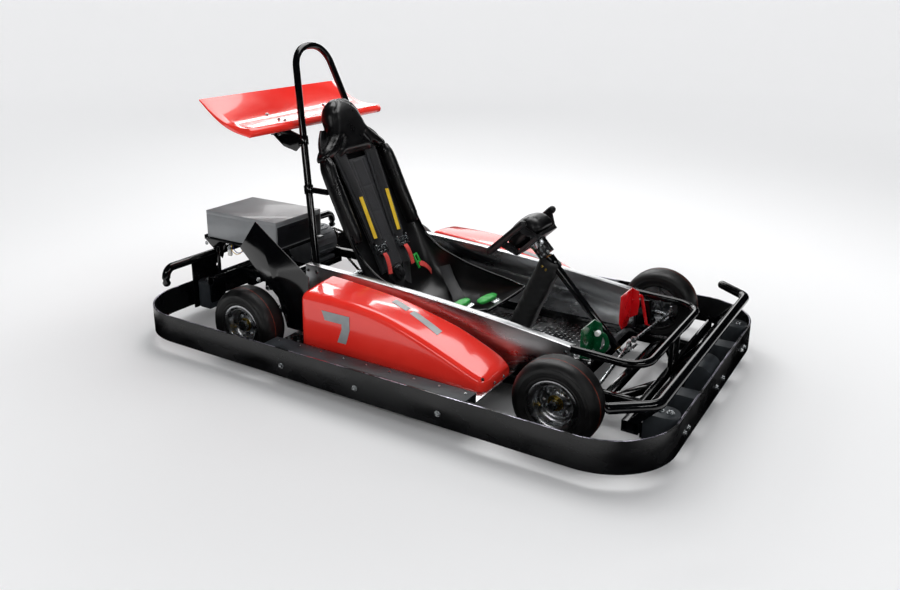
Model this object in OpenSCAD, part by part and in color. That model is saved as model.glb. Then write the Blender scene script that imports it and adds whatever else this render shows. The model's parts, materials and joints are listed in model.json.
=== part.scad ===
/* [Overall] */
// Length over the bumper band
kart_l = 2048; // [1980:1:2110]
// Width over the bumper band
kart_w = 1296; // [1280:1:1330]
// Height of the top of the roll hoop tube
hoop_top = 1100; // [1060:1:1140]

/* [Wheels] */
// Tyre outside radius
tyre_r = 137.5; // [136:0.5:139]
// Tyre section width
tyre_w = 106; // [102:1:110]
// Rim radius where the tyre bead sits
rim_r = 64; // [62:0.5:66]
// Front axle line ahead of the kart's centre
front_x = 682; // [676:1:690]
// Rear axle line behind the kart's centre
rear_x = -505; // [-512:1:-500]
// Front wheel centre from the middle plane
front_y = 480; // [476:1:486]
// Rear wheel centre from the middle plane
rear_y = 528; // [524:1:534]

/* [Bumper band] */
// Bottom edge of the band above the ground
band_z0 = 38; // [34:1:44]
// Top edge of the band above the ground
band_z1 = 142; // [138:1:148]
// Band thickness
band_t = 6; // [4:0.5:8]
// Outside corner radius of the band
band_r = 225; // [210:1:240]

/* [Frame] */
// Outside face of the frame rails from the middle plane
rail_y = 316; // [314:1:318]
// Rail width
rail_w = 30; // [26:1:32]
// Underside of the frame
frame_z = 60; // [58:1:62]
// Rail height
rail_h = 35; // [33:1:35]
// Steel tube wall
wall = 2.5; // [2:0.5:3]
// Diameter of the roll hoop tube
hoop_d = 27; // [25:1:28]
// Diameter of the two bumper tubes
bumper_d = 32; // [30:1:33]
// Diameter of the pedal guard tube
loop_d = 25; // [22:1:26]

/* [Steering] */
// Kingpin from the middle plane
king_y = 372; // [370:1:374]
// Slope of the column up and back from the ground plane, in degrees
column_tilt = 46.4; // [46:0.1:47]
// Steering shaft diameter
shaft_d = 20; // [18:1:20]

/* [Hidden] */

$fn = 48;
gap = 0.3;              // space kept between pieces that move past each other
run = 0.05;             // running clearance on a radius
axle_z = tyre_r;
rail_in = rail_y - rail_w;
frame_top = frame_z + rail_h;
sill_x0 = -410;
sill_x1 = 645;
half_l = kart_l / 2;
half_w = kart_w / 2;

// ---------- helpers ----------
function unit(v) = v / norm(v);
function lerp(a, b, t) = a + (b - a) * t;
function clamp01(t) = min(1, max(0, t));

// Places children so that their +Z runs from a to b
module along(a, b) {
  d = unit(b - a);
  translate(a)
    rotate([0, acos(d[2]), atan2(d[1], d[0])])
      children();
}

// Straight round bar between two points
module bar(a, b, d) {
  along(a, b) cylinder(d = d, h = norm(b - a));
}

// Points along a path whose corners are rounded to radius rb
function rounded(pts, rb) = let (last = len(pts) - 1) [
  for (i = [0:last])
    if (i == 0 || i == last) pts[i]
    else let (
      u = unit(pts[i] - pts[i - 1]),
      v = unit(pts[i + 1] - pts[i]),
      turn = acos(u * v),
      side = unit(cross(cross(u, v), u)),
      start = pts[i] - u * rb * tan(turn / 2),
      n = max(3, ceil(turn / 9)))
      for (k = [0:n]) let (a = turn * k / n) start + u * rb * sin(a) + side * rb * (1 - cos(a))
];

// Ring of points round a path point, for a path that lies in a plane with normal n
function tube_ring(path, i, n, r, sides) = let (
    last = len(path) - 1,
    t = unit(path[min(last, i + 1)] - path[max(0, i - 1)]),
    b = cross(t, n))
  [for (k = [0:sides - 1]) let (a = 360 * k / sides) path[i] + b * r * cos(a) + n * r * sin(a)];
function path_normal(pts) = unit(cross(pts[1] - pts[0], pts[2] - pts[1]));

// Bent round tube with open ends, swept along a flat path
module bent_tube(pts, rb, d, t) {
  path = rounded(pts, rb);
  n = path_normal(pts);
  last = len(path) - 1;
  skin(concat(
    [for (i = [0:last]) tube_ring(path, i, n, d / 2, 20)],
    [for (i = [last:-1:0]) tube_ring(path, i, n, d / 2 - t, 20)]), true);
}
// Bent round bar
module bent_bar(pts, rb, d) {
  path = rounded(pts, rb);
  n = path_normal(pts);
  skin([for (i = [0:len(path) - 1]) tube_ring(path, i, n, d / 2, 16)]);
}

// Rectangular tube along X or Y
module box_tube_x(x0, x1, y0, y1, z0, z1) {
  difference() {
    block([x0, y0, z0], [x1, y1, z1]);
    block([x0 - 1, y0 + wall, z0 + wall], [x1 + 1, y1 - wall, z1 - wall]);
  }
}
module box_tube_y(x0, x1, y0, y1, z0, z1) {
  difference() {
    block([x0, y0, z0], [x1, y1, z1]);
    block([x0 + wall, y0 - 1, z0 + wall], [x1 - wall, y1 + 1, z1 - wall]);
  }
}

module block(lo, hi) {
  translate(lo) cube(hi - lo);
}

// The shape and its mirror image across the middle plane
module both_sides() {
  children();
  mirror([0, 1, 0]) children();
}

// Plate in the XZ plane from y0 to y1
module side_plate(pts, y0, y1) {
  translate([0, y1, 0]) rotate([90, 0, 0]) linear_extrude(y1 - y0) polygon(pts);
}

// Closed skin through rings of points that run clockwise about the way they advance;
// with looped set, the last ring joins the first
module skin(rings, looped = false) {
  n = len(rings);
  m = len(rings[0]);
  pts = [for (r = rings) for (p = r) p];
  sides = [for (i = [0:n - (looped ? 1 : 2)]) for (j = [0:m - 1]) let (
      a = i * m + j,
      b = i * m + (j + 1) % m,
      c = ((i + 1) % n) * m + (j + 1) % m,
      d = ((i + 1) % n) * m + j)
    for (f = [[a, b, c], [a, c, d]]) f];
  ends = looped ? [] : [[for (j = [m - 1:-1:0]) j], [for (j = [0:m - 1]) (n - 1) * m + j]];
  polyhedron(points = pts, faces = concat(sides, ends), convexity = 6);
}

// ---------- frame ----------
front_cross_x = 612;    // rear face of the cross tube at the floor's front edge
rear_cross_x = -405;    // rear face of the cross tube ahead of the axle, clear of the chain
rear_rail_y0 = 200;
rear_rail_y1 = 230;
rear_rail_z0 = 170;
rear_rail_z1 = 205;
rear_rail_x0 = -835;
rear_rail_x1 = rear_cross_x + 30;
beam_x0 = 868;
beam_x1 = 918;
beam_z0 = 84;
beam_z1 = 120;
beam_y = 455;
loop_z = 220;         // height of the pedal guard tube over the front beam

module frame_rails() {
  color("black") both_sides()
    box_tube_x(-440, 700, -rail_y, -rail_in, frame_z, frame_top);
}

module cross_members() {
  color("black") {
    for (x = [rear_cross_x, -90, front_cross_x])
      box_tube_y(x, x + 30, -rail_in, rail_in, frame_z, frame_top);
    for (x = [-800, -700])
      box_tube_y(x, x + 30, -rear_rail_y1, rear_rail_y1, 140, rear_rail_z0);
    box_tube_y(rear_rail_x0 - 30, rear_rail_x0, -380, 380, rear_rail_z0, rear_rail_z1);
  }
}

module rear_rails() {
  color("black") both_sides() {
    box_tube_x(rear_rail_x0, rear_rail_x1, -rear_rail_y1, -rear_rail_y0, rear_rail_z0, rear_rail_z1);
    block([rear_cross_x, -rear_rail_y1, frame_top], [rear_rail_x1, -rear_rail_y0, rear_rail_z0]);
  }
}

module front_rails() {
  color("black") {
    both_sides() {
      box_tube_x(642, beam_x0, -275, -250, 64, frame_top);
      side_brace();
    }
    box_tube_y(742, 767, -249.5, 249.5, 66, 91);
  }
}

// Diagonal from the front rail to the middle of the front beam
module side_brace() {
  translate([0, 0, 68]) linear_extrude(22)
    polygon([[770, -249.5], [795, -249.5], [867.5, -120], [867.5, -90], [850, -90]]);
}

module front_beam() {
  color("black") {
    difference() {
      block([beam_x0, -beam_y, beam_z0], [beam_x1, beam_y, beam_z1]);
      block([beam_x0 + 18, -beam_y - 1, beam_z0 + 6], [beam_x1 - 18, beam_y + 1, beam_z1 + 1]);
      block([beam_x0 + 3, -beam_y - 1, beam_z0 + 6], [beam_x0 + 15, beam_y + 1, beam_z1 - 3]);
      block([beam_x1 - 15, -beam_y - 1, beam_z0 + 6], [beam_x1 - 3, beam_y + 1, beam_z1 - 3]);
    }
    // two short struts up to the pedal guard loop
    for (y = [-32, 32]) translate([877, y, beam_z1 - 3]) cylinder(d = 16, h = loop_z - loop_d / 2 - beam_z1 + 2.7);
  }
}

module floor_pan() {
  color("silver") difference() {
    block([-60, -rail_in + 0.5, frame_z], [front_cross_x, rail_in - 0.5, frame_z + 3]);
    for (x = [0, 300, 580]) for (y = [-270, 270])
      translate([x, y, frame_z - 1]) cylinder(r = 4.2, h = 6, $fn = 24);
  }
}

// ---------- sills ----------
function sill_top(x) = 304 - 0.066 * x - 5.405e-5 * x * x;
sill_step = 81;

module sill_right() {
  xs = [for (x = [sill_x0:sill_step:sill_x1]) x];
  top = [for (i = [len(xs) - 1:-1:0]) [xs[i], sill_top(xs[i])]];
  color("silver") difference() {
    side_plate(concat([[sill_x0, frame_top], [sill_x1, frame_top], [sill_x1, sill_top(sill_x1)]], top),
      -rail_y, -rail_in);
    // the two lengthwise grooves on the inner face
    for (drop = [75, 80]) sill_groove(xs, drop);
    // lightening pocket that makes the extrusion a thin plate with thick edges
    side_plate(concat(
      [for (x = [-380, 0, 300, 615]) [x, frame_top + 12]],
      [for (x = [615, 300, 0, -380]) [x, sill_top(x) - 30]]), -rail_y + 5, -rail_in - 5);
  }
}
module sill_groove(xs, drop) {
  side_plate(concat([for (x = xs) [x, sill_top(x) - drop]],
    [for (i = [len(xs) - 1:-1:0]) [xs[i], sill_top(xs[i]) - drop + 2]]), -rail_in - 1.5, -rail_in + 1);
}
module sill_left() { mirror([0, 1, 0]) sill_right(); }

// ---------- bodywork ----------
pod_y0 = 345;
pod_y1 = 518;
board_z1 = 112;
pod_z0 = board_z1 + 0.3;
pod_t = 4;
pod_x = [-275, -268, -255, -200, -120, -40, 40, 110, 180, 250, 310, 360, 400, 430, 448, 457];
function pod_in(x) = lookup(x, [[-275, 296], [-268, 308], [-255, 316], [-60, 300], [150, 265], [270, 235],
  [360, 200], [420, 172], [448, 152], [457, 138]]);
function pod_out(x) = lookup(x, [[-275, 280], [-268, 291], [-255, 298], [-50, 297], [60, 284], [180, 250],
  [300, 205], [400, 163], [440, 152], [457, 148]]);
// Cross section of a pod, moved in by s; an inside section reaches below the bottom edge
function pod_ring(x, s) = let (
    zi = pod_in(x) - s,
    zo = pod_out(x) - s,
    a = pod_y0 + s,
    b = pod_y1 - s,
    z0 = s > 0 ? pod_z0 - 5 : pod_z0)
  [[x, -b, z0], [x, -b, zo - 30 + s], [x, -b + 2, zo - 15], [x, -b + 9, zo - 6], [x, -b + 22, zo],
    [x, -b + 34, zo + 3], [x, -a - 14, zi], [x, -a - 4, zi - 4], [x, -a, zi - 14], [x, -a, z0]];

module side_pod_right() {
  n = len(pod_x);
  color("red") difference() {
    skin([for (x = pod_x) pod_ring(x, 0)]);
    skin([for (i = [0:n - 1]) pod_ring(i == 0 ? pod_x[0] + pod_t : i == n - 1 ? pod_x[i] - pod_t : pod_x[i],
      pod_t)]);
  }
}
module side_pod_left() { mirror([0, 1, 0]) side_pod_right(); }

module running_boards() {
  color("silver") both_sides()
    block([-350, -573, board_z1 - 3], [460, -rail_y - 0.5, board_z1]);
}

module edge_strips() {
  color("black") both_sides() difference() {
    block([-330, -half_w + band_t + 0.5, board_z1 - 3], [460, -573.5, band_z1]);
    block([-331, -half_w + band_t - 1, board_z1 - 4], [461, -578, band_z1 - 4]);
  }
}

wing_half = 400;
module wing() {
  color("red") translate([0, wing_half, 0]) rotate([90, 0, 0]) linear_extrude(2 * wing_half) wing_shape();
}
function wing_top(u) = 820 + 88 * u - 30 * sin(180 * u);
function wing_thick(u) = lerp(34, 7, pow(u, 0.7));
function wing_under(u) = wing_top(u) - wing_thick(u);
module wing_shape() {
  n = 14;
  polygon(concat(
    [for (i = [0:n]) let (u = i / n) [-580 - 240 * u, wing_top(u)]],
    [for (i = [n:-1:0]) let (u = i / n) [-580 - 240 * u, wing_under(u)]],
    [[-572, wing_top(0) - 30], [-567, wing_top(0) - 20], [-569, wing_top(0) - 8]]));
}

// ---------- bumper band and tubes ----------
module band_ring(inset) {
  r = band_r - inset;
  for (sx = [-1, 1]) for (sy = [-1, 1])
    translate([sx * (half_l - band_r), sy * (half_w - band_r)]) circle(r = r, $fn = 96);
  square([2 * (half_l - inset), 2 * (half_w - band_r)], center = true);
  square([2 * (half_l - band_r), 2 * (half_w - inset)], center = true);
}
module bumper_band() {
  color("black") translate([0, 0, band_z0]) linear_extrude(band_z1 - band_z0) difference() {
    band_ring(0);
    band_ring(band_t);
  }
}

// Rubber block with a round back, drawn in plan and stood upright
module d_block(x0, x1, y0, y1, z0, z1) {
  r = (y1 - y0) / 2;
  toward = x1 > x0 ? 1 : -1;
  translate([0, (y0 + y1) / 2, z0]) linear_extrude(z1 - z0) {
    translate([min(x0, x1 - toward * r), -r]) square([abs(x1 - x0) - r, 2 * r]);
    translate([x1 - toward * r, 0]) circle(r = r);
  }
}
band_in_x = half_l - band_t - 0.5;
band_in_y = half_w - band_t - 0.5;
module band_mounts() {
  color("dimgray") {
    both_sides() {
      translate([0, -400, 0]) d_block(924.5, band_in_x, -40, 40, 62, 150);
      d_block(-874.5, -959.5, -370, -285, 62, 165);
      for (x = [-250, 60, 370]) block([x - 30, -band_in_y, 62], [x + 30, -600.5, 99]);
      block([936, -250, 60], [band_in_x, -190, 138]);
    }
    block([936, -60, 60], [band_in_x, 60, 118]);
    translate([936, 60, 118]) rotate([90, 0, 0]) intersection() {
      translate([(band_in_x - 936) / 2, 0]) cylinder(r = (band_in_x - 936) / 2, h = 120);
      cube([100, 60, 120]);
    }
  }
}

tow_y = 235;            // tow holes in the rear plates
module band_brackets() {
  color("black") {
    both_sides() {
      for (x = [-250, 60, 370])
        box_tube_x_to_band(x);
      // front plates that carry the front blocks
      block([beam_x1, -440, 70], [924, -360, beam_z1]);
      block([beam_x1, -250, 70], [935.5, -190, beam_z1]);
      // struts from the front beam up to the front bumper tube
      for (y = [-454, -70]) front_strut(y);
      // rear bracket, plate and spacer
      block([-874.2, -365, 90], [rear_rail_x0 - 30.2, -290, 200]);
      difference() {
        block([-966, -370, 50], [-960, -215, 243]);
        translate([-970, -tow_y, 200]) rotate([0, 90, 0]) cylinder(r = 6, h = 20);
      }
      block([-band_in_x, -355, 55], [-966, -235, 135]);
    }
    block([beam_x1, -50, 70], [935.5, 50, beam_z1]);
  }
}
module box_tube_x_to_band(x) {
  box_tube_y(x - 20, x + 20, -600, -rail_y - 0.3, 79, board_z1 - 3.2);
}
module front_strut(y) {
  difference() {
    side_plate([[886, beam_z1], [918, beam_z1], [985, 190], [985, 208], [962, 208]], y, y + 6);
    translate([984, y - 1, 218]) rotate([-90, 0, 0]) cylinder(d = bumper_d + 0.6, h = 8);
  }
}

module front_bumper_tube() {
  color("black") bent_tube([[878, -592, 218], [984, -505, 218], [984, 505, 218], [878, 592, 218]],
    60, bumper_d, wall);
}
module rear_bumper_tube() {
  color("black") bent_tube([[-950, -515, 203], [-950, -515, 260], [-950, 515, 260], [-950, 515, 203]],
    38, bumper_d, wall);
}

module pedal_guard_loop() {
  color("black")
    bent_tube([[646, -304, 229], [877, -304, loop_z], [877, 304, loop_z], [646, 304, 229]], 80, loop_d, wall);
}

// ---------- roll hoop ----------
hoop_y = 272;
hoop_knee = 310;
hoop_c = hoop_top - hoop_d / 2;
function hoop_x(z) = -396 - 0.29 * (z - hoop_knee);
function hoop_half(z) = hoop_y - 0.238 * max(0, z - hoop_knee);
function hoop_pt(y, z) = [hoop_x(z), y, z];
module roll_hoop() {
  y1 = hoop_half(hoop_c);
  color("black") bent_tube([hoop_pt(-hoop_y, frame_top + 5), hoop_pt(-hoop_y, hoop_knee), hoop_pt(-y1, hoop_c),
    hoop_pt(y1, hoop_c), hoop_pt(hoop_y, hoop_knee), hoop_pt(hoop_y, frame_top + 5)], 98, hoop_d, wall);
}
// Clamp round the hoop's right leg, joined to its children and bored through with them
module hoop_clamp(z) {
  a = hoop_pt(-hoop_half(z), z);
  b = hoop_pt(-hoop_half(z + 30), z + 30);
  difference() {
    union() {
      bar(a, b, hoop_d + 8);
      children();
    }
    bar(a - 4 * (b - a), b + 4 * (b - a), hoop_d + 0.2);
  }
}
module hoop_brackets() {
  z = 560;
  color("black") {
    both_sides() {
      // foot tab welded to the rail
      block([-360, -rail_in, frame_top - 12], [-306, -258, frame_top]);
      // clamp and arm from the hoop to the seat shell
      hoop_clamp(z)
        block([hoop_x(z) + 4, -214, z + 5], [-380.5, -203, z + 25]);
    }
  }
}
module wing_bracket() {
  color("black") both_sides() difference() {
    hoop_clamp(735)
      side_plate([[hoop_x(740) - 6, 738], [hoop_x(768) - 4, 768], [-590, wing_under(0.042) - 3],
        [-625, wing_under(0.188) - 3], [-670, wing_under(0.375) - 3], [-720, wing_under(0.583) - 3],
        [-724, 800], [-620, 720], [-560, 706]], -174, -168);
    for (x = [-640, -675]) translate([x, -180, 765]) rotate([-90, 0, 0]) cylinder(r = 4.2, h = 20, $fn = 24);
  }
}

// ---------- seat ----------
// Stations from the front lip to the top: outside surface, rim of the side wing, half width
seat_stations = [
  [269, 219, 262, 226, 150], [225, 184, 222, 221, 173], [160, 143, 165, 223, 195], [80, 112, 98, 228, 208],
  [0, 99, 36, 236, 216], [-70, 98, -20, 246, 220], [-130, 106, -70, 260, 222], [-178, 138, -118, 276, 222],
  [-212, 190, -158, 294, 221], [-240, 250, -196, 321, 220], [-270, 318, -232, 356, 219],
  [-318, 417, -279, 437, 218], [-368, 523, -328, 544, 217], [-420, 630, -383, 649, 208],
  [-464, 724, -434, 738, 180], [-490, 778, -474, 786, 126]];
seat_last = len(seat_stations) - 1;
seat_t = 5;
function crom(a, b, c, d, t) = b + t * ((c - a) / 2 + t * (a - 2.5 * b + 2 * c - 0.5 * d
  + t * (1.5 * (b - c) + (d - a) / 2)));
function seat_at(s) = let (v = seat_stations, i = min(seat_last - 1, floor(s)))
  crom(v[max(0, i - 1)], v[i], v[i + 1], v[min(seat_last, i + 2)], s - i);
// Point of the shell: station s, angle a across, lift is the distance from the outside surface
function seat_pt(s, a, lift) = let (
    v = seat_at(s),
    p = [v[0], v[1]],
    q = [v[2], v[3]],
    h = norm(q - p),
    rise = lift + (h - lift) * (1 - pow(max(0, cos(a)), 0.5)),
    g = p + (q - p) * rise / h)
  [g[0], (v[4] - lift) * sin(a), g[1]];
function seat_ring(s) = concat(
  [for (a = [-90:15:90]) seat_pt(s, a, 0)],
  [for (a = [90:-15:-90]) seat_pt(s, a, seat_t)]);
module seat_shell() {
  color("black") skin([for (s = [0:0.5:seat_last]) seat_ring(s)]);
}

// Places children on the seat back: +X across to the left, +Y up the back, +Z toward the driver
back_tilt = 25.5;
module on_back(up, lift) {
  translate([-262, 0, 300]) rotate([0, -back_tilt, 0]) translate([lift, 0, up]) children();
}
module seat_pad() {
  color("black") on_back(0, 0) hull()
    for (y = [-104, 104]) for (up = [-56, 396]) translate([18, y, up]) sphere(r = 8, $fn = 24);
}
module headrest() {
  color("black") on_back(0, 0) hull() {
    for (y = [-162, 162]) translate([40, y, 428]) sphere(r = 14, $fn = 24);
    for (y = [-88, 88]) translate([38, y, 480]) sphere(r = 24, $fn = 24);
    for (y = [-66, 66]) translate([38, y, 568]) sphere(r = 27, $fn = 24);
    for (y = [-34, 34]) translate([40, y, 610]) sphere(r = 27, $fn = 24);
  }
}
module seat_bolsters() {
  color("black") both_sides() on_back(0, 0) hull()
    for (v = [[-178, 102], [-178, 345], [-168, 380]]) translate([47, v[0], v[1]]) sphere(r = 22, $fn = 24);
}
// Shoulder pads spread toward the top, with the belt below them
module harness_straps() {
  color("midnightblue") both_sides() on_back(0, 0) {
    hull() {
      translate([26.2, -100, 62]) cube([10, 62, 1]);
      translate([26.2, -132, 404]) cube([10, 76, 1]);
    }
    translate([26.2, -92, -60]) cube([5, 44, 121]);
  }
}
module harness_hardware() {
  color("silver") on_back(0, 0) {
    both_sides() translate([31.4, -100, 12]) cube([11, 60, 24]);
    translate([31.4, -52, -100]) cube([14, 50, 56]);
  }
}

// ---------- steering column ----------
col_base = [686, 0, 130];
col_dir = [-cos(column_tilt), 0, sin(column_tilt)];
function col_at(t) = col_base + col_dir * t;
// Places children on the column axis: +Z up the column, +X up the wheel plane, away from the driver
module on_column(t) {
  translate(col_at(t)) rotate([0, column_tilt - 90, 0]) children();
}
post_foot = [291, 0, frame_z + 3];
post_head = [431.7, 0, 396.8];
tube_top = 385;
tube_d = 28;
module column_tube() {
  color("black") on_column(0) difference() {
    cylinder(d = tube_d, h = tube_top);
    translate([0, 0, -1]) cylinder(d = 24, h = tube_top + 2);
  }
}
module column_bushes() {
  color("goldenrod") on_column(0) for (z = [[-4, 14], [tube_top - 14, tube_top + 4]]) difference() {
    union() {
      translate([0, 0, z[0]]) cylinder(d = 23.9, h = z[1] - z[0]);
      translate([0, 0, z[0] < 0 ? z[0] : z[1] - 4]) cylinder(d = tube_d, h = 3.8);
    }
    translate([0, 0, z[0] - 1]) cylinder(d = shaft_d + 2 * run, h = 22);
  }
}
module column_post() {
  u = unit(post_head - post_foot);
  color("black") difference() {
    union() {
      bar(post_foot + u * 8, post_head - u * 12, 25);
      block([post_foot[0] - 30, -35, post_foot[2] + 0.2], [post_foot[0] + 30, 35, post_foot[2] + 5]);
      on_column(368.5 - 15) cylinder(d = tube_d + 10, h = 30);
    }
    on_column(300) cylinder(d = tube_d + 0.2, h = 140);
    for (x = [-22, 22]) for (y = [-26, 26]) translate([post_foot[0] + x, y, post_foot[2] - 1])
      cylinder(r = 3.3, h = 10, $fn = 24);
  }
}
module column_sleeve() {
  color("black") difference() {
    along(post_foot + unit(post_head - post_foot) * 30, post_head)
      linear_extrude(norm(post_head - post_foot) - 26) rounded_box(84, 78, 22);
    bar(post_foot, post_head + unit(post_head - post_foot) * 30, 26);
    on_column(300) cylinder(d = tube_d + 12, h = 140);
    on_column(100) cylinder(d = tube_d + 2, h = 300);
    on_column(388) cylinder(r = 36, h = 60);
  }
}
module rounded_box(a, b, r) {
  for (x = [-1, 1]) for (y = [-1, 1]) translate([x * (a / 2 - r), y * (b / 2 - r)]) circle(r = r);
  square([a, b - 2 * r], center = true);
  square([a - 2 * r, b], center = true);
}

pitman_t = -30;
pitman_r = 50;
pitman_y = 22;
module steering_shaft() {
  color("gray") {
    on_column(pitman_t - 4) cylinder(d = shaft_d, h = 452 - pitman_t);
    on_column(pitman_t) linear_extrude(6) difference() {
      union() {
        circle(r = 16);
        polygon([[0, -16], [pitman_r, -pitman_y - 10], [pitman_r + 10, -pitman_y], [pitman_r + 10, pitman_y],
          [pitman_r, pitman_y + 10], [0, 16]]);
      }
      for (y = [-pitman_y, pitman_y]) translate([pitman_r, y]) circle(r = 4);
    }
  }
}
hub_t0 = 395;
grip_t = 517;
module steering_wheel() {
  color("dimgray") {
    // ribbed hub
    on_column(hub_t0) difference() {
      union() {
        cylinder(r = 26, h = 56);
        for (a = [0:30:330]) rotate([0, 0, a]) translate([24, -3.5, 0]) cube([6, 7, 40]);
      }
      translate([0, 0, -1]) cylinder(d = shaft_d + 0.1, h = 60);
    }
    // dished plate and the two side spokes that carry the grips
    on_column(hub_t0 + 56) linear_extrude(12) rounded_box(130, 150, 24);
    both_sides() {
      wheel_spoke();
      on_column(grip_t) hull() {
        translate([-104, -118, 0]) sphere(r = 12, $fn = 24);
        translate([58, -118, 0]) sphere(r = 12, $fn = 24);
      }
    }
  }
}
module wheel_spoke() {
  on_column(0) for (u = [-62, 30])
    translate([u, 0, 0]) rotate([90, 0, 90]) linear_extrude(24)
      polygon([[-68, hub_t0 + 58], [-66, hub_t0 + 66], [-112, grip_t + 2], [-122, grip_t - 4]]);
}
module steering_pad() {
  color("black") on_column(0) hull()
    for (y = [-52, 52]) for (u = [-62, 62]) translate([u, y, 0]) {
      translate([0, 0, hub_t0 + 56 + 12 + 26]) sphere(r = 24, $fn = 24);
      translate([u * -0.25, y * -0.25, 528]) sphere(r = 20, $fn = 24);
    }
}

// ---------- front axle ----------
yoke_z0 = 103;
yoke_z1 = 172;
yoke_t = 8;
arm_tip = [75, 10];     // steering arm tip ahead of the kingpin and inboard of it
rod_z = 155;
module axle_yokes() {
  color("black") both_sides() {
    block([648, -rail_y, frame_top + 0.3], [700, -300, 205]);
    difference() {
      union() {
        for (z = [yoke_z0, yoke_z1 - yoke_t]) {
          block([664, -king_y, z], [700, -rail_y, z + yoke_t]);
          translate([front_x, -king_y, z]) cylinder(r = 18, h = yoke_t);
        }
      }
    }
    translate([front_x, -king_y, yoke_z0 - 6]) cylinder(r = 6, h = yoke_z1 - yoke_z0 + 12);
  }
}
module spindle_right() {
  z0 = yoke_z0 + yoke_t + gap;
  z1 = yoke_z1 - yoke_t - gap;
  color("silver") difference() {
    union() {
      translate([front_x, -king_y, z0]) cylinder(r = 13, h = z1 - z0);
      translate([front_x, -king_y, axle_z]) rotate([90, 0, 0]) {
        cylinder(r = 16, h = 34);
        cylinder(r = 10, h = 152);
        translate([0, 0, 138]) cylinder(r = 15, h = 12, $fn = 6);
      }
      steering_arm();
    }
    translate([front_x, -king_y, 0]) cylinder(r = 6 + run, h = 300);
  }
}
// Steering arm: a flat bar from the kingpin barrel to the tie rod
module steering_arm() {
  translate([front_x, -king_y, 139]) linear_extrude(8) {
    polygon([[0, -12], [arm_tip[0], arm_tip[1] - 9], [arm_tip[0], arm_tip[1] + 9], [0, 12]]);
    translate(arm_tip) circle(r = 9);
  }
}
module spindle_left() { mirror([0, 1, 0]) spindle_right(); }
rod_out = [front_x + arm_tip[0], -king_y + arm_tip[1], rod_z];
rod_in = [734, -pitman_y, rod_z + 6];
module tie_rod_right() {
  u = unit(rod_in - rod_out);
  color("silver") {
    translate([rod_out[0], rod_out[1], 147 + gap]) cylinder(r = 9, h = 14);
    translate([rod_out[0], rod_out[1], 161]) cylinder(r = 6, h = 7, $fn = 6);
    bar(rod_out + u * 6, rod_in - u * 6, 9);
    bar(rod_out + u * 30, rod_in - u * 30, 12);
    translate([rod_in[0], rod_in[1], rod_in[2] - 5]) cylinder(r = 9, h = 12);
    translate([rod_in[0], rod_in[1], rod_in[2] + 6.5]) cylinder(r = 6, h = 6, $fn = 6);
  }
}
module tie_rod_left() { mirror([0, 1, 0]) tie_rod_right(); }

// ---------- wheels ----------
// Children are built with the axis on Z, outside face up, and placed at a wheel centre
module wheel_at(x, y) {
  translate([x, y, axle_z]) rotate([y < 0 ? 90 : -90, 0, 0]) children();
}
bead_w = 40;
module tyre() {
  h = tyre_w / 2;
  color("black") rotate_extrude($fn = 96) polygon([
    [rim_r + 0.5, bead_w - 9], [rim_r + 0.5, bead_w - 0.5], [81, bead_w - 0.5], [84, h - 7], [98, h - 1],
    [112, h], [125, h - 4], [133, h - 10], [tyre_r, h - 20], [tyre_r, 20 - h], [133, 10 - h], [125, 4 - h],
    [112, -h], [98, 1 - h], [84, 7 - h], [81, 0.5 - bead_w], [rim_r + 0.5, 0.5 - bead_w],
    [rim_r + 0.5, 9 - bead_w], [82, 9 - bead_w], [100, 9 - h], [118, 10 - h], [129, 20 - h], [129, h - 20],
    [118, h - 10], [100, h - 9], [82, bead_w - 9]]);
}
module rim(hub_r, bore_r, hub_0, hub_1) {
  color("silver") difference() {
    union() {
      rotate_extrude($fn = 96) polygon([
        [rim_r - 4, -bead_w - 5], [80, -bead_w - 5], [80, -bead_w - 1], [rim_r, -bead_w], [rim_r, -20], [56, -14],
        [56, 14], [rim_r, 20], [rim_r, bead_w], [80, bead_w + 1], [80, bead_w + 5], [rim_r - 4, bead_w + 5],
        [rim_r - 4, 22], [52, 15], [46, 10], [30, 10], [30, 5], [47, 5], [52, -14], [rim_r - 4, -20]]);
      translate([0, 0, hub_0]) cylinder(r = hub_r, h = hub_1 - hub_0);
      translate([0, 0, 4]) cylinder(r = 31, h = 6);
    }
    translate([0, 0, -80]) cylinder(r = bore_r, h = 160);
    for (a = [0:72:288]) rotate([0, 0, a + 36]) translate([40, 0, 0]) cylinder(r = 5.5, h = 20);
  }
}
module front_rim_right() { wheel_at(front_x, -front_y) rim(22, 10 + run, -60, 29); }
module front_tyre_right() { wheel_at(front_x, -front_y) tyre(); }
module front_rim_left() { mirror([0, 1, 0]) front_rim_right(); }
module front_tyre_left() { mirror([0, 1, 0]) front_tyre_right(); }
module rear_rims() { both_sides() wheel_at(rear_x, -rear_y) rim(28, 25.2, 2, 12); }
module rear_tyres() { both_sides() wheel_at(rear_x, -rear_y) tyre(); }

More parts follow.
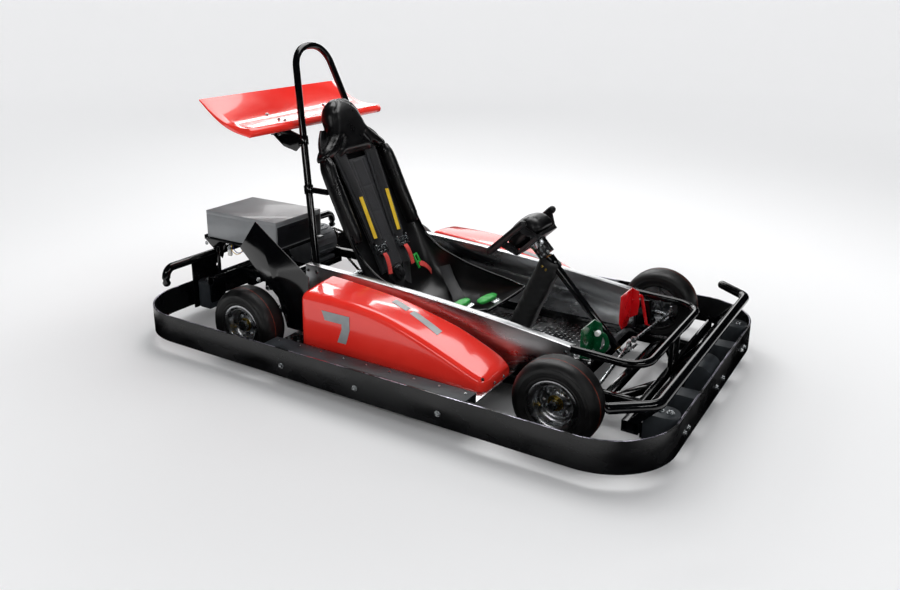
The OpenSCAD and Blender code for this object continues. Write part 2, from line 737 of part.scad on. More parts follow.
// ---------- rear axle and drive ----------
axle_r = 15;
bearing_y = 215;
chain_y = 262;
sprocket_r = 84;
pinion_r = 25;
motor_x = -735;
motor_z = 243;
motor_r = 68;
disc_y = -110;
module axle_disc(y, r, t) {
  translate([rear_x, y + t / 2, axle_z]) rotate([90, 0, 0]) cylinder(r = r, h = t);
}
module rear_axle() {
  color("silver") {
    axle_disc(0, axle_r, 2 * (rear_y + 30));
    both_sides() {
      translate([rear_x, -rear_y + 60, axle_z]) rotate([90, 0, 0]) cylinder(r = 25, h = 73);
      axle_disc(-rear_y + 10, 42, 8);
      translate([rear_x, -rear_y - 24, axle_z]) rotate([90, 0, 0]) cylinder(r = 21, h = 12, $fn = 6);
    }
    // sprocket and disc carriers with the sprocket and the brake disc
    axle_disc(chain_y, 26, 26);
    axle_disc(disc_y, 26, 26);
    toothed(rear_x, chain_y, axle_z, sprocket_r, 52, 5);
    difference() {
      axle_disc(disc_y, 86, 6);
      for (a = [0:45:315]) translate([rear_x + 60 * cos(a), disc_y + 10, axle_z + 60 * sin(a)])
        rotate([90, 0, 0]) cylinder(r = 6, h = 20);
    }
  }
}
// Sprocket with plain teeth
module toothed(x, y, z, r, n, t) {
  translate([x, y + t / 2, z]) rotate([90, 0, 0]) linear_extrude(t)
    polygon([for (i = [0:4 * n - 1]) let (a = i * 90 / n, q = i % 4, rr = q < 2 ? r - 5 : r)
      [rr * cos(a), rr * sin(a)]]);
}
module axle_bearings() {
  color("dimgray") both_sides() difference() {
    union() {
      translate([rear_x, -bearing_y + 11, axle_z]) rotate([90, 0, 0]) cylinder(r = 31, h = 22);
      block([rear_x - 36, -bearing_y - 11, axle_z + 12], [rear_x + 36, -bearing_y + 11, rear_rail_z0 - 0.3]);
    }
    translate([rear_x, -bearing_y + 20, axle_z]) rotate([90, 0, 0]) cylinder(r = axle_r + run, h = 40);
  }
}
module brake_caliper() {
  color("goldenrod") difference() {
    union() {
      block([-612, disc_y - 26, 112], [-560, disc_y + 26, 164]);
      block([-669.7, disc_y - 20, 142], [-612, disc_y + 20, 154]);
    }
    block([-600, disc_y - 4.5, 100], [-550, disc_y + 4.5, 170]);
    axle_disc(disc_y, 88, 9);
  }
}
module drive_motor() {
  color("dimgray") {
    translate([motor_x, 195, motor_z]) rotate([90, 0, 0]) {
      cylinder(r = motor_r, h = 165);
      translate([0, 0, 20]) for (a = [0:20:340]) rotate([0, 0, a]) translate([motor_r - 3, -2, 0]) cube([6, 4, 125]);
    }
    block([motor_x - 62, 40, 170.2], [motor_x + 62, 185, 184]);
    difference() {
      translate([motor_x, 205, motor_z]) rotate([90, 0, 0]) cylinder(r = 30, h = 12);
      translate([motor_x, 225, motor_z]) rotate([90, 0, 0]) cylinder(r = 10 + run, h = 60);
    }
  }
}
module motor_sprocket() {
  color("silver") {
    translate([motor_x, chain_y + 10, motor_z]) rotate([90, 0, 0]) cylinder(r = 10, h = 76.5);
    toothed(motor_x, chain_y, motor_z, pinion_r, 15, 5);
  }
}
// Outline of a belt round two circles, the first at the origin
function loop_points(r1, r2, d) = let (a = acos((r1 - r2) / d)) concat(
  [for (k = [0:24]) let (q = a + (360 - 2 * a) * k / 24) [r1 * cos(q), r1 * sin(q)]],
  [for (k = [0:12]) let (q = -a + 2 * a * k / 12) [d + r2 * cos(q), r2 * sin(q)]]);
module drive_chain() {
  d = norm([motor_x - rear_x, motor_z - axle_z]);
  turn = atan2(motor_z - axle_z, motor_x - rear_x);
  color("dimgray") translate([rear_x, chain_y + 6, axle_z]) rotate([90, 0, 0]) linear_extrude(12)
    rotate(turn) difference() {
      polygon(loop_points(sprocket_r + 8, pinion_r + 8, d));
      polygon(loop_points(sprocket_r + 2, pinion_r + 2, d));
    }
}

// ---------- rear equipment ----------
box_lo = [-967, -270, 329];
box_hi = [-593, 0, 439];
module battery_box() {
  color("gray") difference() {
    block(box_lo, box_hi - [0, 0, 16]);
    block(box_lo + [2, 2, 2], box_hi + [-2, -2, 5]);
    block([box_hi[0] - 5, -200, 400], [box_hi[0] + 5, -100, 407]);
  }
}
module box_lid() {
  color("gray") difference() {
    block([box_lo[0], box_lo[1], box_hi[2] - 15.8], box_hi);
    block(box_lo + [2, 2, 0], box_hi - [2, 2, 2]);
  }
}
module battery_pack() {
  color("black") block(box_lo + [12, 12, 6], box_hi - [30, 14, 24]);
}
module box_tray() {
  color("black") {
    block([box_lo[0] - 12, box_lo[1] - 8, 318], [box_hi[0] + 6, box_hi[1] + 8, 325]);
    block([box_lo[0] - 12, box_lo[1] - 8, 325], [box_lo[0] - 8, box_hi[1] + 8, 336]);
    // folded gusset at the corner and the posts down to the frame
    side_plate([[-975, 318], [-860, 318], [-884, 250]], -278, -274);
    translate([-850, -330, rear_rail_z1 + 0.2]) cylinder(d = 12, h = 113.2);
    translate([-850, -20, rear_rail_z1 + 0.2]) cylinder(d = 12, h = 113.2);
    translate([-618, -215, rear_rail_z1 + 0.2]) cylinder(d = 12, h = 113.2);
  }
}
module wheel_guard() {
  y = -450;
  color("black") {
    side_plate([[-525, 497], [-608, 386], [-432, 226], [-404, 150], [-394, 118], [-300, 118], [-284, 330]], y, y + 3);
    block([-390, y + 3, 118], [-300, -rail_y - 0.5, 122]);
  }
}

// ---------- pedals ----------
brake_y = 262.5;
pedal_pin = 5;
brake_pivot = [702, 0, 120];
throttle_y = -100;
throttle_pivot = [650, 0, 116];
module pedal_fork(p, y, z0) {
  for (s = [-1, 1])
    block([p[0] - 12, y + s * 10.5 - 2, z0], [p[0] + 12, y + s * 10.5 + 2, p[2] + 11]);
  translate([p[0], y + 14, p[2]]) rotate([90, 0, 0]) cylinder(r = pedal_pin, h = 28);
}
module pedal_brackets() {
  color("black") {
    pedal_fork(brake_pivot, brake_y, frame_top + 0.2);
    pedal_fork(throttle_pivot, throttle_y, frame_top + 0.2);
    block([618, throttle_y - 12.5, frame_top + 0.2], [662, throttle_y + 12.5, frame_top + 5]);
  }
}
module pedal(p, y, colour, pts) {
  color(colour) {
    difference() {
      translate([p[0], y + 8, p[2]]) rotate([90, 0, 0]) cylinder(r = 10, h = 16);
      translate([p[0], y + 20, p[2]]) rotate([90, 0, 0]) cylinder(r = pedal_pin + run, h = 40);
    }
    bent_bar(pts, 14, 12);
  }
}
// Pad plate that faces the driver, cut to a point at the bottom, with a folded edge
module pedal_pad(x, y0, y1, z0, z1, colour) {
  color(colour) translate([x, 0, 0]) rotate([90, 0, 90]) linear_extrude(4)
    polygon([[y0, z1], [y1, z1], [y1, z0 + 30], [y1 - 30, z0], [y0 + 30, z0], [y0, z0 + 30]]);
}
module brake_pedal() {
  pedal(brake_pivot, brake_y, "red", [[701, brake_y, 127], [674, brake_y, 238], [661, 190, 238]]);
  pedal_pad(656, 88, 200, 150, 282, "red");
}
module throttle_pedal() {
  pedal(throttle_pivot, throttle_y, "green", [[651, throttle_y, 123], [664, throttle_y, 222], [645, -128, 222]]);
  pedal_pad(640, -222, -110, 135, 262, "green");
}

frame_rails();
cross_members();
rear_rails();
front_rails();
front_beam();
floor_pan();
sill_right();
sill_left();
side_pod_right();
side_pod_left();
running_boards();
edge_strips();
bumper_band();
band_mounts();
band_brackets();
front_bumper_tube();
rear_bumper_tube();
pedal_guard_loop();
roll_hoop();
hoop_brackets();
wing();
wing_bracket();
seat_shell();
seat_pad();
headrest();
seat_bolsters();
harness_straps();
harness_hardware();
column_tube();
column_post();
column_sleeve();
column_bushes();
battery_box();
box_lid();
battery_pack();
box_tray();
wheel_guard();
drive_motor();
drive_chain();
axle_bearings();
brake_caliper();
axle_yokes();
pedal_brackets();
steering_shaft();
steering_wheel();
steering_pad();
spindle_right();
spindle_left();
tie_rod_right();
tie_rod_left();
front_rim_right();
front_tyre_right();
front_rim_left();
front_tyre_left();
rear_axle();
rear_rims();
rear_tyres();
motor_sprocket();
brake_pedal();
throttle_pedal();
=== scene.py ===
"""Concession go-kart: the looks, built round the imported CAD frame.

Lengths in the helpers are metres, in the frame's own axes: X forward, Y to the driver's left, Z up.
Outlines are written in millimetres, as a drawing would give them, and pass through MM.
"""

import json
import math
import random

import bmesh
import bpy
import numpy as np
from mathutils import Matrix, Vector, noise

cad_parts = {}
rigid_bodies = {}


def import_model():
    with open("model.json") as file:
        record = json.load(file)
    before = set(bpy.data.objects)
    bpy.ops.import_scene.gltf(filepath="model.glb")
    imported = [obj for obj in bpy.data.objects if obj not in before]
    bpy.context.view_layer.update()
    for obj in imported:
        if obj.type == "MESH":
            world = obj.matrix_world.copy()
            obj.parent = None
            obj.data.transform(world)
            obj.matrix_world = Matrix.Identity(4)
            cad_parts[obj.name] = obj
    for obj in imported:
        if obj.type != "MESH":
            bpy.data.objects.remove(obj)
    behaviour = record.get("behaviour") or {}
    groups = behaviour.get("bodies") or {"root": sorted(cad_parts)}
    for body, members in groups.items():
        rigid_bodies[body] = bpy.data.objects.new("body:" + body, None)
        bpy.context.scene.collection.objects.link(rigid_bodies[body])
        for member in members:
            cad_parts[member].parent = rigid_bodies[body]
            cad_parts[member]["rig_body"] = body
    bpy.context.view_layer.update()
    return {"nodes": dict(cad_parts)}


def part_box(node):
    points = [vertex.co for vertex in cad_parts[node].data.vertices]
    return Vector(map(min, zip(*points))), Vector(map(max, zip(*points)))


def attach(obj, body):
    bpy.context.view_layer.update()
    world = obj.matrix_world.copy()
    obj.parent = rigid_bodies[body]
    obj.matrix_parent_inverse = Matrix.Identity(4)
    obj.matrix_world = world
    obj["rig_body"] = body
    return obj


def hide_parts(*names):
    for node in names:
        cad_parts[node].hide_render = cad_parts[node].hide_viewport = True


bl_info = {
    "name": "Concession Go-Kart",
    "version": (1, 0, 0),
    "blender": (4, 5, 0),
    "location": "3D View > Sidebar > Kart",
    "description": "Builds the visible pieces of a concession go-kart round its CAD frame",
    "category": "Object",
}

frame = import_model()

MM = 0.001
CHASSIS = "chassis"
UP = Vector((0, 0, 1))


def box_mm(node):
    """Lowest and highest corner of a CAD node, in millimetres."""
    low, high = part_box(node)
    return low / MM, high / MM


# ------------------------------------------------------------------ small maths


def lerp(a, b, t):
    return a + (b - a) * t


def smooth(t):
    t = min(1.0, max(0.0, t))
    return t * t * (3 - 2 * t)


def through(points, steps):
    """Points of a smooth curve that passes through each given point."""
    pts = [Vector(p) for p in points]
    out = []
    for i in range(len(pts) - 1):
        a, b = pts[max(0, i - 1)], pts[i]
        c, d = pts[i + 1], pts[min(len(pts) - 1, i + 2)]
        for k in range(steps):
            t = k / steps
            out.append(
                0.5 * (2 * b + (c - a) * t + (2 * a - 5 * b + 4 * c - d) * t * t
                       + (3 * b - a - 3 * c + d) * t ** 3))
    return out + [pts[-1]]


def rounded(points, radius, steps=8):
    """The points' straight path with its corners turned to arcs of that radius."""
    pts = [Vector(p) for p in points]
    out = [pts[0]]
    for before, corner, after in zip(pts, pts[1:], pts[2:]):
        u = (corner - before).normalized()
        v = (after - corner).normalized()
        turn = u.angle(v)
        side = (v - u * u.dot(v)).normalized()
        start = corner - u * radius * math.tan(turn / 2)
        for k in range(steps + 1):
            a = turn * k / steps
            out.append(start + u * radius * math.sin(a) + side * radius * (1 - math.cos(a)))
    return out + [pts[-1]]


def circle(radius, sides, squash=1.0):
    """Closed section: a circle, or an ellipse where squash isn't 1."""
    return [(radius * math.cos(2 * math.pi * k / sides), radius * squash * math.sin(2 * math.pi * k / sides))
            for k in range(sides)]


def rounded_rect(width, height, radius, steps=4):
    """Closed section: a rectangle with rounded corners, centred."""
    out = []
    for corner, (sx, sy) in enumerate([(1, 1), (-1, 1), (-1, -1), (1, -1)]):
        for k in range(steps + 1):
            a = math.pi / 2 * (corner + k / steps)
            out.append((sx * (width / 2 - radius) + radius * math.cos(a),
                        sy * (height / 2 - radius) + radius * math.sin(a)))
    return out


# ------------------------------------------------------------------ mesh makers


def frames_along(path, up=UP):
    """For each point of the path: the point, the direction across it and the direction over it."""
    pts = [Vector(p) for p in path]
    out = []
    for i, p in enumerate(pts):
        t = (pts[min(i + 1, len(pts) - 1)] - pts[max(i - 1, 0)]).normalized()
        across = t.cross(up)
        if across.length < 1e-4:
            across = t.cross(Vector((1, 0, 0)))
        across.normalize()
        out.append((p, across, across.cross(t).normalized()))
    return out


def loft(rings, closed_ends=True, looped=False):
    """Vertices and faces of a skin through closed rings of equally many points."""
    m = len(rings[0])
    verts = [Vector(p) for ring in rings for p in ring]
    faces = []
    spans = len(rings) if looped else len(rings) - 1
    for i in range(spans):
        j = (i + 1) % len(rings)
        for k in range(m):
            faces.append((i * m + k, i * m + (k + 1) % m, j * m + (k + 1) % m, j * m + k))
    if closed_ends and not looped:
        faces.append(tuple(range(m - 1, -1, -1)))
        faces.append(tuple((len(rings) - 1) * m + k for k in range(m)))
    return verts, faces


def swept(path, section, up=UP, scale=None):
    """Closed section carried along a path; scale is a function of the share of the way."""
    rings = []
    steps = frames_along(path, up)
    for i, (p, across, over) in enumerate(steps):
        s = scale(i / (len(steps) - 1)) if scale else 1.0
        rings.append([p + across * x * s + over * y * s for x, y in section])
    return loft(rings)


def round_ended(path, radius, sides=24, up=UP):
    """Solid rod or cord along a path, its two ends domed."""
    steps = frames_along(path, up)
    (p0, a0, o0), (p1, a1, o1) = steps[0], steps[-1]
    t0, t1 = (o0.cross(a0)).normalized(), (o1.cross(a1)).normalized()
    if t0.dot(steps[1][0] - p0) < 0:
        t0, t1 = -t0, -t1
    section = circle(1.0, sides)
    rings = []
    for k in range(5, 0, -1):
        a = math.pi / 2 * k / 5.4
        rings.append([p0 - t0 * radius * math.sin(a) + (a0 * x + o0 * y) * radius * math.cos(a) for x, y in section])
    rings += [[p + (a * x + o * y) * radius for x, y in section] for p, a, o in steps]
    for k in range(1, 6):
        a = math.pi / 2 * k / 5.4
        rings.append([p1 + t1 * radius * math.sin(a) + (a1 * x + o1 * y) * radius * math.cos(a) for x, y in section])
    return loft(rings)


def lathe(profile, sides, place):
    """Closed (radius, height) profile turned about its axis; place is a matrix to its position."""
    rings = []
    for k in range(sides):
        a = 2 * math.pi * k / sides
        rings.append([place @ Vector((r * math.cos(a), r * math.sin(a), h)) for r, h in profile])
    return loft(rings, looped=True)


def slab(low, high, place=None):
    """Box between two corners."""
    place = place or Matrix.Identity(4)
    corners = [(x, y, z) for x in (low[0], high[0]) for y in (low[1], high[1]) for z in (low[2], high[2])]
    faces = [(0, 1, 3, 2), (4, 6, 7, 5), (0, 4, 5, 1), (2, 3, 7, 6), (0, 2, 6, 4), (1, 5, 7, 3)]
    return [place @ Vector(c) for c in corners], faces


def prism(outline, height, place):
    """Flat outline raised by height; place is a matrix to its position."""
    rings = [[place @ Vector((x, y, z)) for x, y in outline] for z in (0, height)]
    return loft(rings)


def together(*shells):
    """Several (vertices, faces) shells as one."""
    verts, faces = [], []
    for v, f in shells:
        faces += [tuple(i + len(verts) for i in face) for face in f]
        verts += list(v)
    return verts, faces


def scaled(shell):
    """A shell drawn in millimetres, in metres."""
    return [Vector(v) * MM for v in shell[0]], shell[1]


def turned_to(axis, at):
    """Matrix that stands +Z along the axis, at a point."""
    return Matrix.Translation(Vector(at)) @ Vector(axis).to_track_quat("Z", "Y").to_matrix().to_4x4()


# ------------------------------------------------------------------ making pieces


def mesh_object(name, shell, mend=True):
    """New object at the origin from vertices and faces, welded, its faces turned outward."""
    mesh = bpy.data.meshes.new(name)
    mesh.from_pydata([tuple(v) for v in shell[0]], [], shell[1])
    if mend:
        bm = bmesh.new()
        bm.from_mesh(mesh)
        bmesh.ops.remove_doubles(bm, verts=bm.verts, dist=1e-6)
        bmesh.ops.recalc_face_normals(bm, faces=bm.faces)
        bm.to_mesh(mesh)
        bm.free()
    obj = bpy.data.objects.new(name, mesh)
    bpy.context.scene.collection.objects.link(obj)
    return obj


def modifier(obj, kind, **settings):
    """Adds a modifier with its settings."""
    mod = obj.modifiers.new(kind.title(), kind)
    for key, value in settings.items():
        setattr(mod, key, value)
    return mod


def bake(obj):
    """Turns the object's modifiers into plain mesh."""
    graph = bpy.context.evaluated_depsgraph_get()
    mesh = bpy.data.meshes.new_from_object(obj.evaluated_get(graph), preserve_all_data_layers=True, depsgraph=graph)
    obj.modifiers.clear()
    obj.data = mesh
    return obj


def soften(obj, angle=35):
    """Smooth shading that keeps edges sharper than the angle crisp."""
    obj.data.shade_smooth()
    obj.data.set_sharp_from_angle(angle=math.radians(angle))
    return obj


def settle(obj, finish, body, stands_for=(), angle=35):
    """Gives a piece its finish, its body and the CAD nodes that it stands for."""
    if finish:
        obj.data.materials.clear()
        obj.data.materials.append(finish_of(finish))
    if angle:
        soften(obj, angle)
    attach(obj, body)
    if stands_for:
        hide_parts(*stands_for)
    return obj


def piece(name, shell, finish, body=CHASSIS, stands_for=(), angle=35, bevel=0.0, levels=0):
    """A finished piece from a shell in metres, with rounded edges or subdivision where asked."""
    obj = mesh_object(name, shell)
    if bevel:
        modifier(obj, "BEVEL", width=bevel, segments=2, limit_method="ANGLE", angle_limit=math.radians(40))
    if levels:
        modifier(obj, "SUBSURF", levels=levels, render_levels=levels)
    if bevel or levels:
        bake(obj)
    return settle(obj, finish, body, stands_for, angle)


def dressed(node, finish, bevel=0.8 * MM, angle=30):
    """A CAD part as it leaves the paint or plating shop: its own shape with its edges broken."""
    source = frame["nodes"][node]
    mesh = source.data.copy()
    bm = bmesh.new()
    bm.from_mesh(mesh)
    bmesh.ops.remove_doubles(bm, verts=bm.verts, dist=1e-5)
    bmesh.ops.dissolve_limit(bm, angle_limit=math.radians(0.6), verts=bm.verts, edges=bm.edges)
    bm.to_mesh(mesh)
    bm.free()
    mesh.materials.clear()
    obj = bpy.data.objects.new(f"{node}_finished", mesh)
    bpy.context.scene.collection.objects.link(obj)
    if bevel:
        modifier(obj, "BEVEL", width=bevel, segments=2, limit_method="ANGLE", angle_limit=math.radians(35),
                 use_clamp_overlap=True)
        bake(obj)
    return settle(obj, finish, source["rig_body"], (node,), angle)


# ------------------------------------------------------------------ finishes


def colour(text):
    """sRGB hex value as a linear colour."""
    parts = [int(text[i:i + 2], 16) / 255 for i in (1, 3, 5)]
    return tuple(p / 12.92 if p <= 0.04045 else ((p + 0.055) / 1.055) ** 2.4 for p in parts) + (1.0,)


def add(tree, kind, settings=None, feed=None, ramp=None):
    """Adds a node with its settings, its input values or links, and its colour ramp."""
    node = tree.nodes.new(kind)
    for key, value in (settings or {}).items():
        setattr(node, key, value)
    for key, value in (feed or {}).items():
        socket = node.inputs[key]
        if isinstance(value, bpy.types.NodeSocket):
            tree.links.new(value, socket)
        else:
            socket.default_value = colour(value) if isinstance(value, str) and value[0] == "#" else value
    if ramp:
        stops = node.color_ramp.elements
        while len(stops) < len(ramp):
            stops.new(0.5)
        for stop, (at, tint) in zip(stops, ramp):
            stop.position, stop.color = at, colour(tint)
    return node


def start(name, settings):
    """New material with its shader's plain values set; returns it, its tree, shader and place in metres."""
    mat = bpy.data.materials.new(name)
    mat.use_nodes = True
    tree = mat.node_tree
    shader = tree.nodes["Principled BSDF"]
    for key, value in settings.items():
        shader.inputs[key].default_value = colour(value) if isinstance(value, str) else value
    return mat, tree, shader, add(tree, "ShaderNodeTexCoord").outputs["Object"]


def patches(tree, place, size_mm, detail=3.0, stretch=(1, 1, 1)):
    """Soft random patches of about that size, 0 to 1."""
    where = add(tree, "ShaderNodeMapping", feed={"Vector": place, "Scale": [s / (size_mm * MM) for s in stretch]})
    return add(tree, "ShaderNodeTexNoise",
               feed={"Vector": where.outputs["Vector"], "Scale": 1.0, "Detail": detail, "Roughness": 0.55}
               ).outputs["Fac"]


def wander(tree, shader, fac, tints, gloss):
    """The colour runs between two tints and the roughness between two values as fac does."""
    tone = add(tree, "ShaderNodeValToRGB", feed={"Fac": fac}, ramp=[(0.32, tints[0]), (0.68, tints[1])])
    tree.links.new(tone.outputs["Color"], shader.inputs["Base Color"])
    rough = add(tree, "ShaderNodeMapRange",
                feed={"Value": fac, "From Min": 0.32, "From Max": 0.68, "To Min": gloss[0], "To Max": gloss[1]})
    tree.links.new(rough.outputs["Result"], shader.inputs["Roughness"])
    return tone


def relief(tree, shader, height, depth_mm, under=None):
    """Surface relief of that depth from a height of 0 to 1."""
    feed = {"Height": height, "Distance": depth_mm * MM, "Strength": 1.0}
    if under:
        feed["Normal"] = under
    bump = add(tree, "ShaderNodeBump", feed=feed)
    tree.links.new(bump.outputs["Normal"], shader.inputs["Normal"])
    return bump.outputs["Normal"]


def coated(name, tints, gloss, patch_mm, grain_mm, depth_mm, **values):
    """Finish whose tone and gloss wander over patches, with one fine grain."""
    mat, tree, shader, place = start(name, {"Metallic": 0.0, **values})
    wander(tree, shader, patches(tree, place, patch_mm), tints, gloss)
    relief(tree, shader, patches(tree, place, grain_mm, 2.0), depth_mm)
    return mat


def gloss_black_paint():
    # sprayed two-pack enamel on steel tube: deep black, wet gloss, faint orange peel
    return coated("gloss_black_enamel", ("#040405", "#07080A"), (0.08, 0.16), 160, 5, 0.05,
                  **{"Specular IOR Level": 0.5, "Coat Weight": 0.15, "Coat Roughness": 0.04})


def band_paint():
    # thick black enamel on the bumper band: hand smudges, and bare steel where karts rub its top edge
    mat, tree, shader, place = start("satin_black_band_enamel", {"Specular IOR Level": 0.5})
    smudge = patches(tree, place, 230, 5.0, (1, 1, 2.2))
    tone = wander(tree, shader, smudge, ("#070708", "#101113"), (0.14, 0.4))
    height = add(tree, "ShaderNodeSeparateXYZ", feed={"Vector": place}).outputs["Z"]
    edge = add(tree, "ShaderNodeMapRange",
               feed={"Value": height, "From Min": 0.1395, "From Max": 0.1417, "To Min": 0.0, "To Max": 1.0})
    chips = add(tree, "ShaderNodeMath", {"operation": "MULTIPLY"},
                {0: edge.outputs["Result"], 1: patches(tree, place, 60, 6.0)})
    worn = add(tree, "ShaderNodeMapRange", feed={"Value": chips.outputs["Value"], "From Min": 0.42, "From Max": 0.55})
    mix = add(tree, "ShaderNodeMix", {"data_type": "RGBA"},
              {"Factor": worn.outputs["Result"], "A": tone.outputs["Color"], "B": "#B9B6C4"})
    tree.links.new(mix.outputs["Result"], shader.inputs["Base Color"])
    tree.links.new(worn.outputs["Result"], shader.inputs["Metallic"])
    relief(tree, shader, patches(tree, place, 9, 2.0), 0.08)
    return mat


def extruded_aluminium():
    # anodised aluminium extrusion: die lines along its length, dull patches from shoes and hands
    mat, tree, shader, place = start("extruded_aluminium", {"Metallic": 1.0, "Anisotropic": 0.4})
    wander(tree, shader, patches(tree, place, 130, 4.0, (0.5, 1, 1.6)), ("#B4B6B9", "#E6E7E8"), (0.2, 0.38))
    relief(tree, shader, patches(tree, place, 3, 2.0, (0.02, 1, 1)), 0.03)
    return mat


def tread_aluminium():
    # rolled aluminium tread plate: bright, scuffed on its raised bars, black dirt in the flats
    mat, tree, shader, place = start("rolled_tread_aluminium", {"Metallic": 1.0})
    tone = wander(tree, shader, patches(tree, place, 90, 6.0), ("#A9ACAF", "#ECEDEE"), (0.16, 0.36))
    dirt = add(tree, "ShaderNodeMapRange",
               feed={"Value": patches(tree, place, 120, 7.0), "From Min": 0.56, "From Max": 0.66})
    mix = add(tree, "ShaderNodeMix", {"data_type": "RGBA"},
              {"Factor": dirt.outputs["Result"], "A": tone.outputs["Color"], "B": "#3A3A3A"})
    tree.links.new(mix.outputs["Result"], shader.inputs["Base Color"])
    relief(tree, shader, patches(tree, place, 4, 2.0), 0.05)
    return mat


def red_shell():
    # gel-coated glass fibre bodywork: saturated red with a clear polished coat over slight mould waviness
    return coated("red_gelcoat", ("#EA2C24", "#F2382C"), (0.14, 0.24), 220, 60, 0.12,
                  **{"Coat Weight": 0.7, "Coat Roughness": 0.04})


def vinyl_grey():
    # cut vinyl film of the number and the side bars: flat silver grey
    return coated("silver_vinyl_film", ("#8F9496", "#A2A7A9"), (0.34, 0.44), 50, 2, 0.02, Metallic=0.25)


def tyre_compound():
    # slick tyre compound: dull carbon black with polished sidewalls, road dust and faint scuffing on the tread
    return coated("slick_tyre_compound", ("#080809", "#101011"), (0.38, 0.6), 45, 1.6, 0.12,
                  **{"Specular IOR Level": 0.55})


def tyre_stripe():
    # thin orange gauge line moulded in the tread
    return coated("orange_tread_line", ("#7A2A16", "#B8451F"), (0.5, 0.65), 12, 2, 0.05)


def block_rubber():
    # moulded EPDM bumper block: charcoal, slightly chalky
    return coated("moulded_rubber_block", ("#1E2226", "#2D3338"), (0.45, 0.62), 60, 1.5, 0.15)


def cast_aluminium():
    # pressure-cast wheel centre: satin silver with a fine cast skin, turned bright at the flange
    mat, tree, shader, place = start("cast_wheel_aluminium", {"Metallic": 1.0})
    wander(tree, shader, patches(tree, place, 35, 4.0), ("#B5B7BA", "#E3E4E6"), (0.22, 0.36))
    relief(tree, shader, patches(tree, place, 1.8, 2.0), 0.05)
    return mat


def bright_zinc():
    # bright zinc plating on fasteners and rods: bluish silver with soft cloudy spots
    return coated("bright_zinc_plate", ("#A9AEB2", "#DDE1E2"), (0.2, 0.34), 9, 1.2, 0.02, Metallic=1.0)


def brass():
    # yellow passivated brass of the axle nut rings and the valve stems
    return coated("passivated_brass", ("#A98A3C", "#D9BC63"), (0.22, 0.36), 8, 1.2, 0.02, Metallic=1.0)


def bronze():
    # sintered bronze bush, oiled
    return coated("sintered_bronze", ("#6E4A24", "#A27439"), (0.3, 0.45), 7, 0.8, 0.03, Metallic=1.0)


def seat_glass_fibre():
    # pressed seat shell in black glass-filled plastic: fine spark-eroded grain under a glossy skin
    mat, tree, shader, place = start("grained_seat_plastic", {"Coat Weight": 0.35, "Coat Roughness": 0.2})
    wander(tree, shader, patches(tree, place, 120, 4.0), ("#0A0A0B", "#141416"), (0.28, 0.4))
    pips = add(tree, "ShaderNodeTexVoronoi", {"feature": "SMOOTH_F1"},
               {"Vector": place, "Scale": 1 / (3.2 * MM), "Smoothness": 0.6})
    relief(tree, shader, pips.outputs["Distance"], 0.35)
    return mat


def upholstery_vinyl():
    # expanded PVC upholstery: black, pebbled leather grain of about 2 mm drawn a little coarse, soft sheen
    mat, tree, shader, place = start("black_upholstery_vinyl", {"Coat Weight": 0.05, "Coat Roughness": 0.3})
    wander(tree, shader, patches(tree, place, 90, 4.0), ("#060607", "#0C0C0E"), (0.24, 0.36))
    cells = add(tree, "ShaderNodeTexVoronoi", {"feature": "SMOOTH_F1"},
                {"Vector": place, "Scale": 1 / (2.6 * MM), "Smoothness": 0.8})
    creases = relief(tree, shader, patches(tree, place, 38, 5.0), 0.7)
    relief(tree, shader, cells.outputs["Distance"], 0.16, creases)
    return mat


def woven(name, tints, gloss, thread_mm, depth_mm, sheen=0.0, axis="Z"):
    """Cloth or webbing: threads of that spacing across and along, over soft tonal patches."""
    mat, tree, shader, place = start(name, {"Sheen Weight": sheen, "Sheen Roughness": 0.5})
    tone = wander(tree, shader, patches(tree, place, 40, 4.0), tints, gloss)
    size = 2 * math.pi / (2 * thread_mm * MM) / 20
    rows = [add(tree, "ShaderNodeTexWave", {"wave_type": "BANDS", "bands_direction": way},
                {"Vector": place, "Scale": size, "Distortion": 0.6, "Detail": 1.0}).outputs["Fac"]
            for way in ("Y", axis)]
    weave = add(tree, "ShaderNodeMath", {"operation": "MULTIPLY"}, {0: rows[0], 1: rows[1]}).outputs["Value"]
    shadow = add(tree, "ShaderNodeMix", {"data_type": "RGBA", "blend_type": "MULTIPLY"},
                 {"Factor": 0.5, "A": tone.outputs["Color"],
                  "B": add(tree, "ShaderNodeMapRange", feed={"Value": weave, "To Min": 0.45}).outputs["Result"]})
    tree.links.new(shadow.outputs["Result"], shader.inputs["Base Color"])
    relief(tree, shader, weave, depth_mm)
    return mat


def harness_pad_cloth():
    # woven nylon of the shoulder pads: black with a blue cast; thread spacing drawn at 1.4 mm so that it shows
    return woven("navy_black_nylon", ("#0B0C12", "#14161F"), (0.5, 0.62), 1.4, 0.25, 0.2)


def strap_webbing():
    # 50 mm polyester seat-belt webbing, ribbed along its length
    return woven("black_belt_webbing", ("#0A0A0D", "#12131A"), (0.42, 0.55), 1.6, 0.3, 0.1, "X")


def red_webbing():
    # red pull tab webbing
    return woven("red_tab_webbing", ("#C9201C", "#EE4438"), (0.5, 0.62), 1.6, 0.25, 0.1, "X")


def yellow_label():
    # woven yellow label strip, left blank
    return woven("yellow_label_tape", ("#E0B400", "#F2CC1C"), (0.45, 0.55), 1.2, 0.1, 0.0, "X")


def sleeve_cloth():
    # coated polyester duck of the column sleeve: matt black
    return woven("black_polyester_duck", ("#09090A", "#131315"), (0.55, 0.7), 1.5, 0.25, 0.15)


def green_plastic():
    # glass-filled nylon latch and tongue covers, light green
    return coated("green_nylon", ("#1E9A3C", "#3FBE50"), (0.3, 0.42), 12, 1, 0.05)


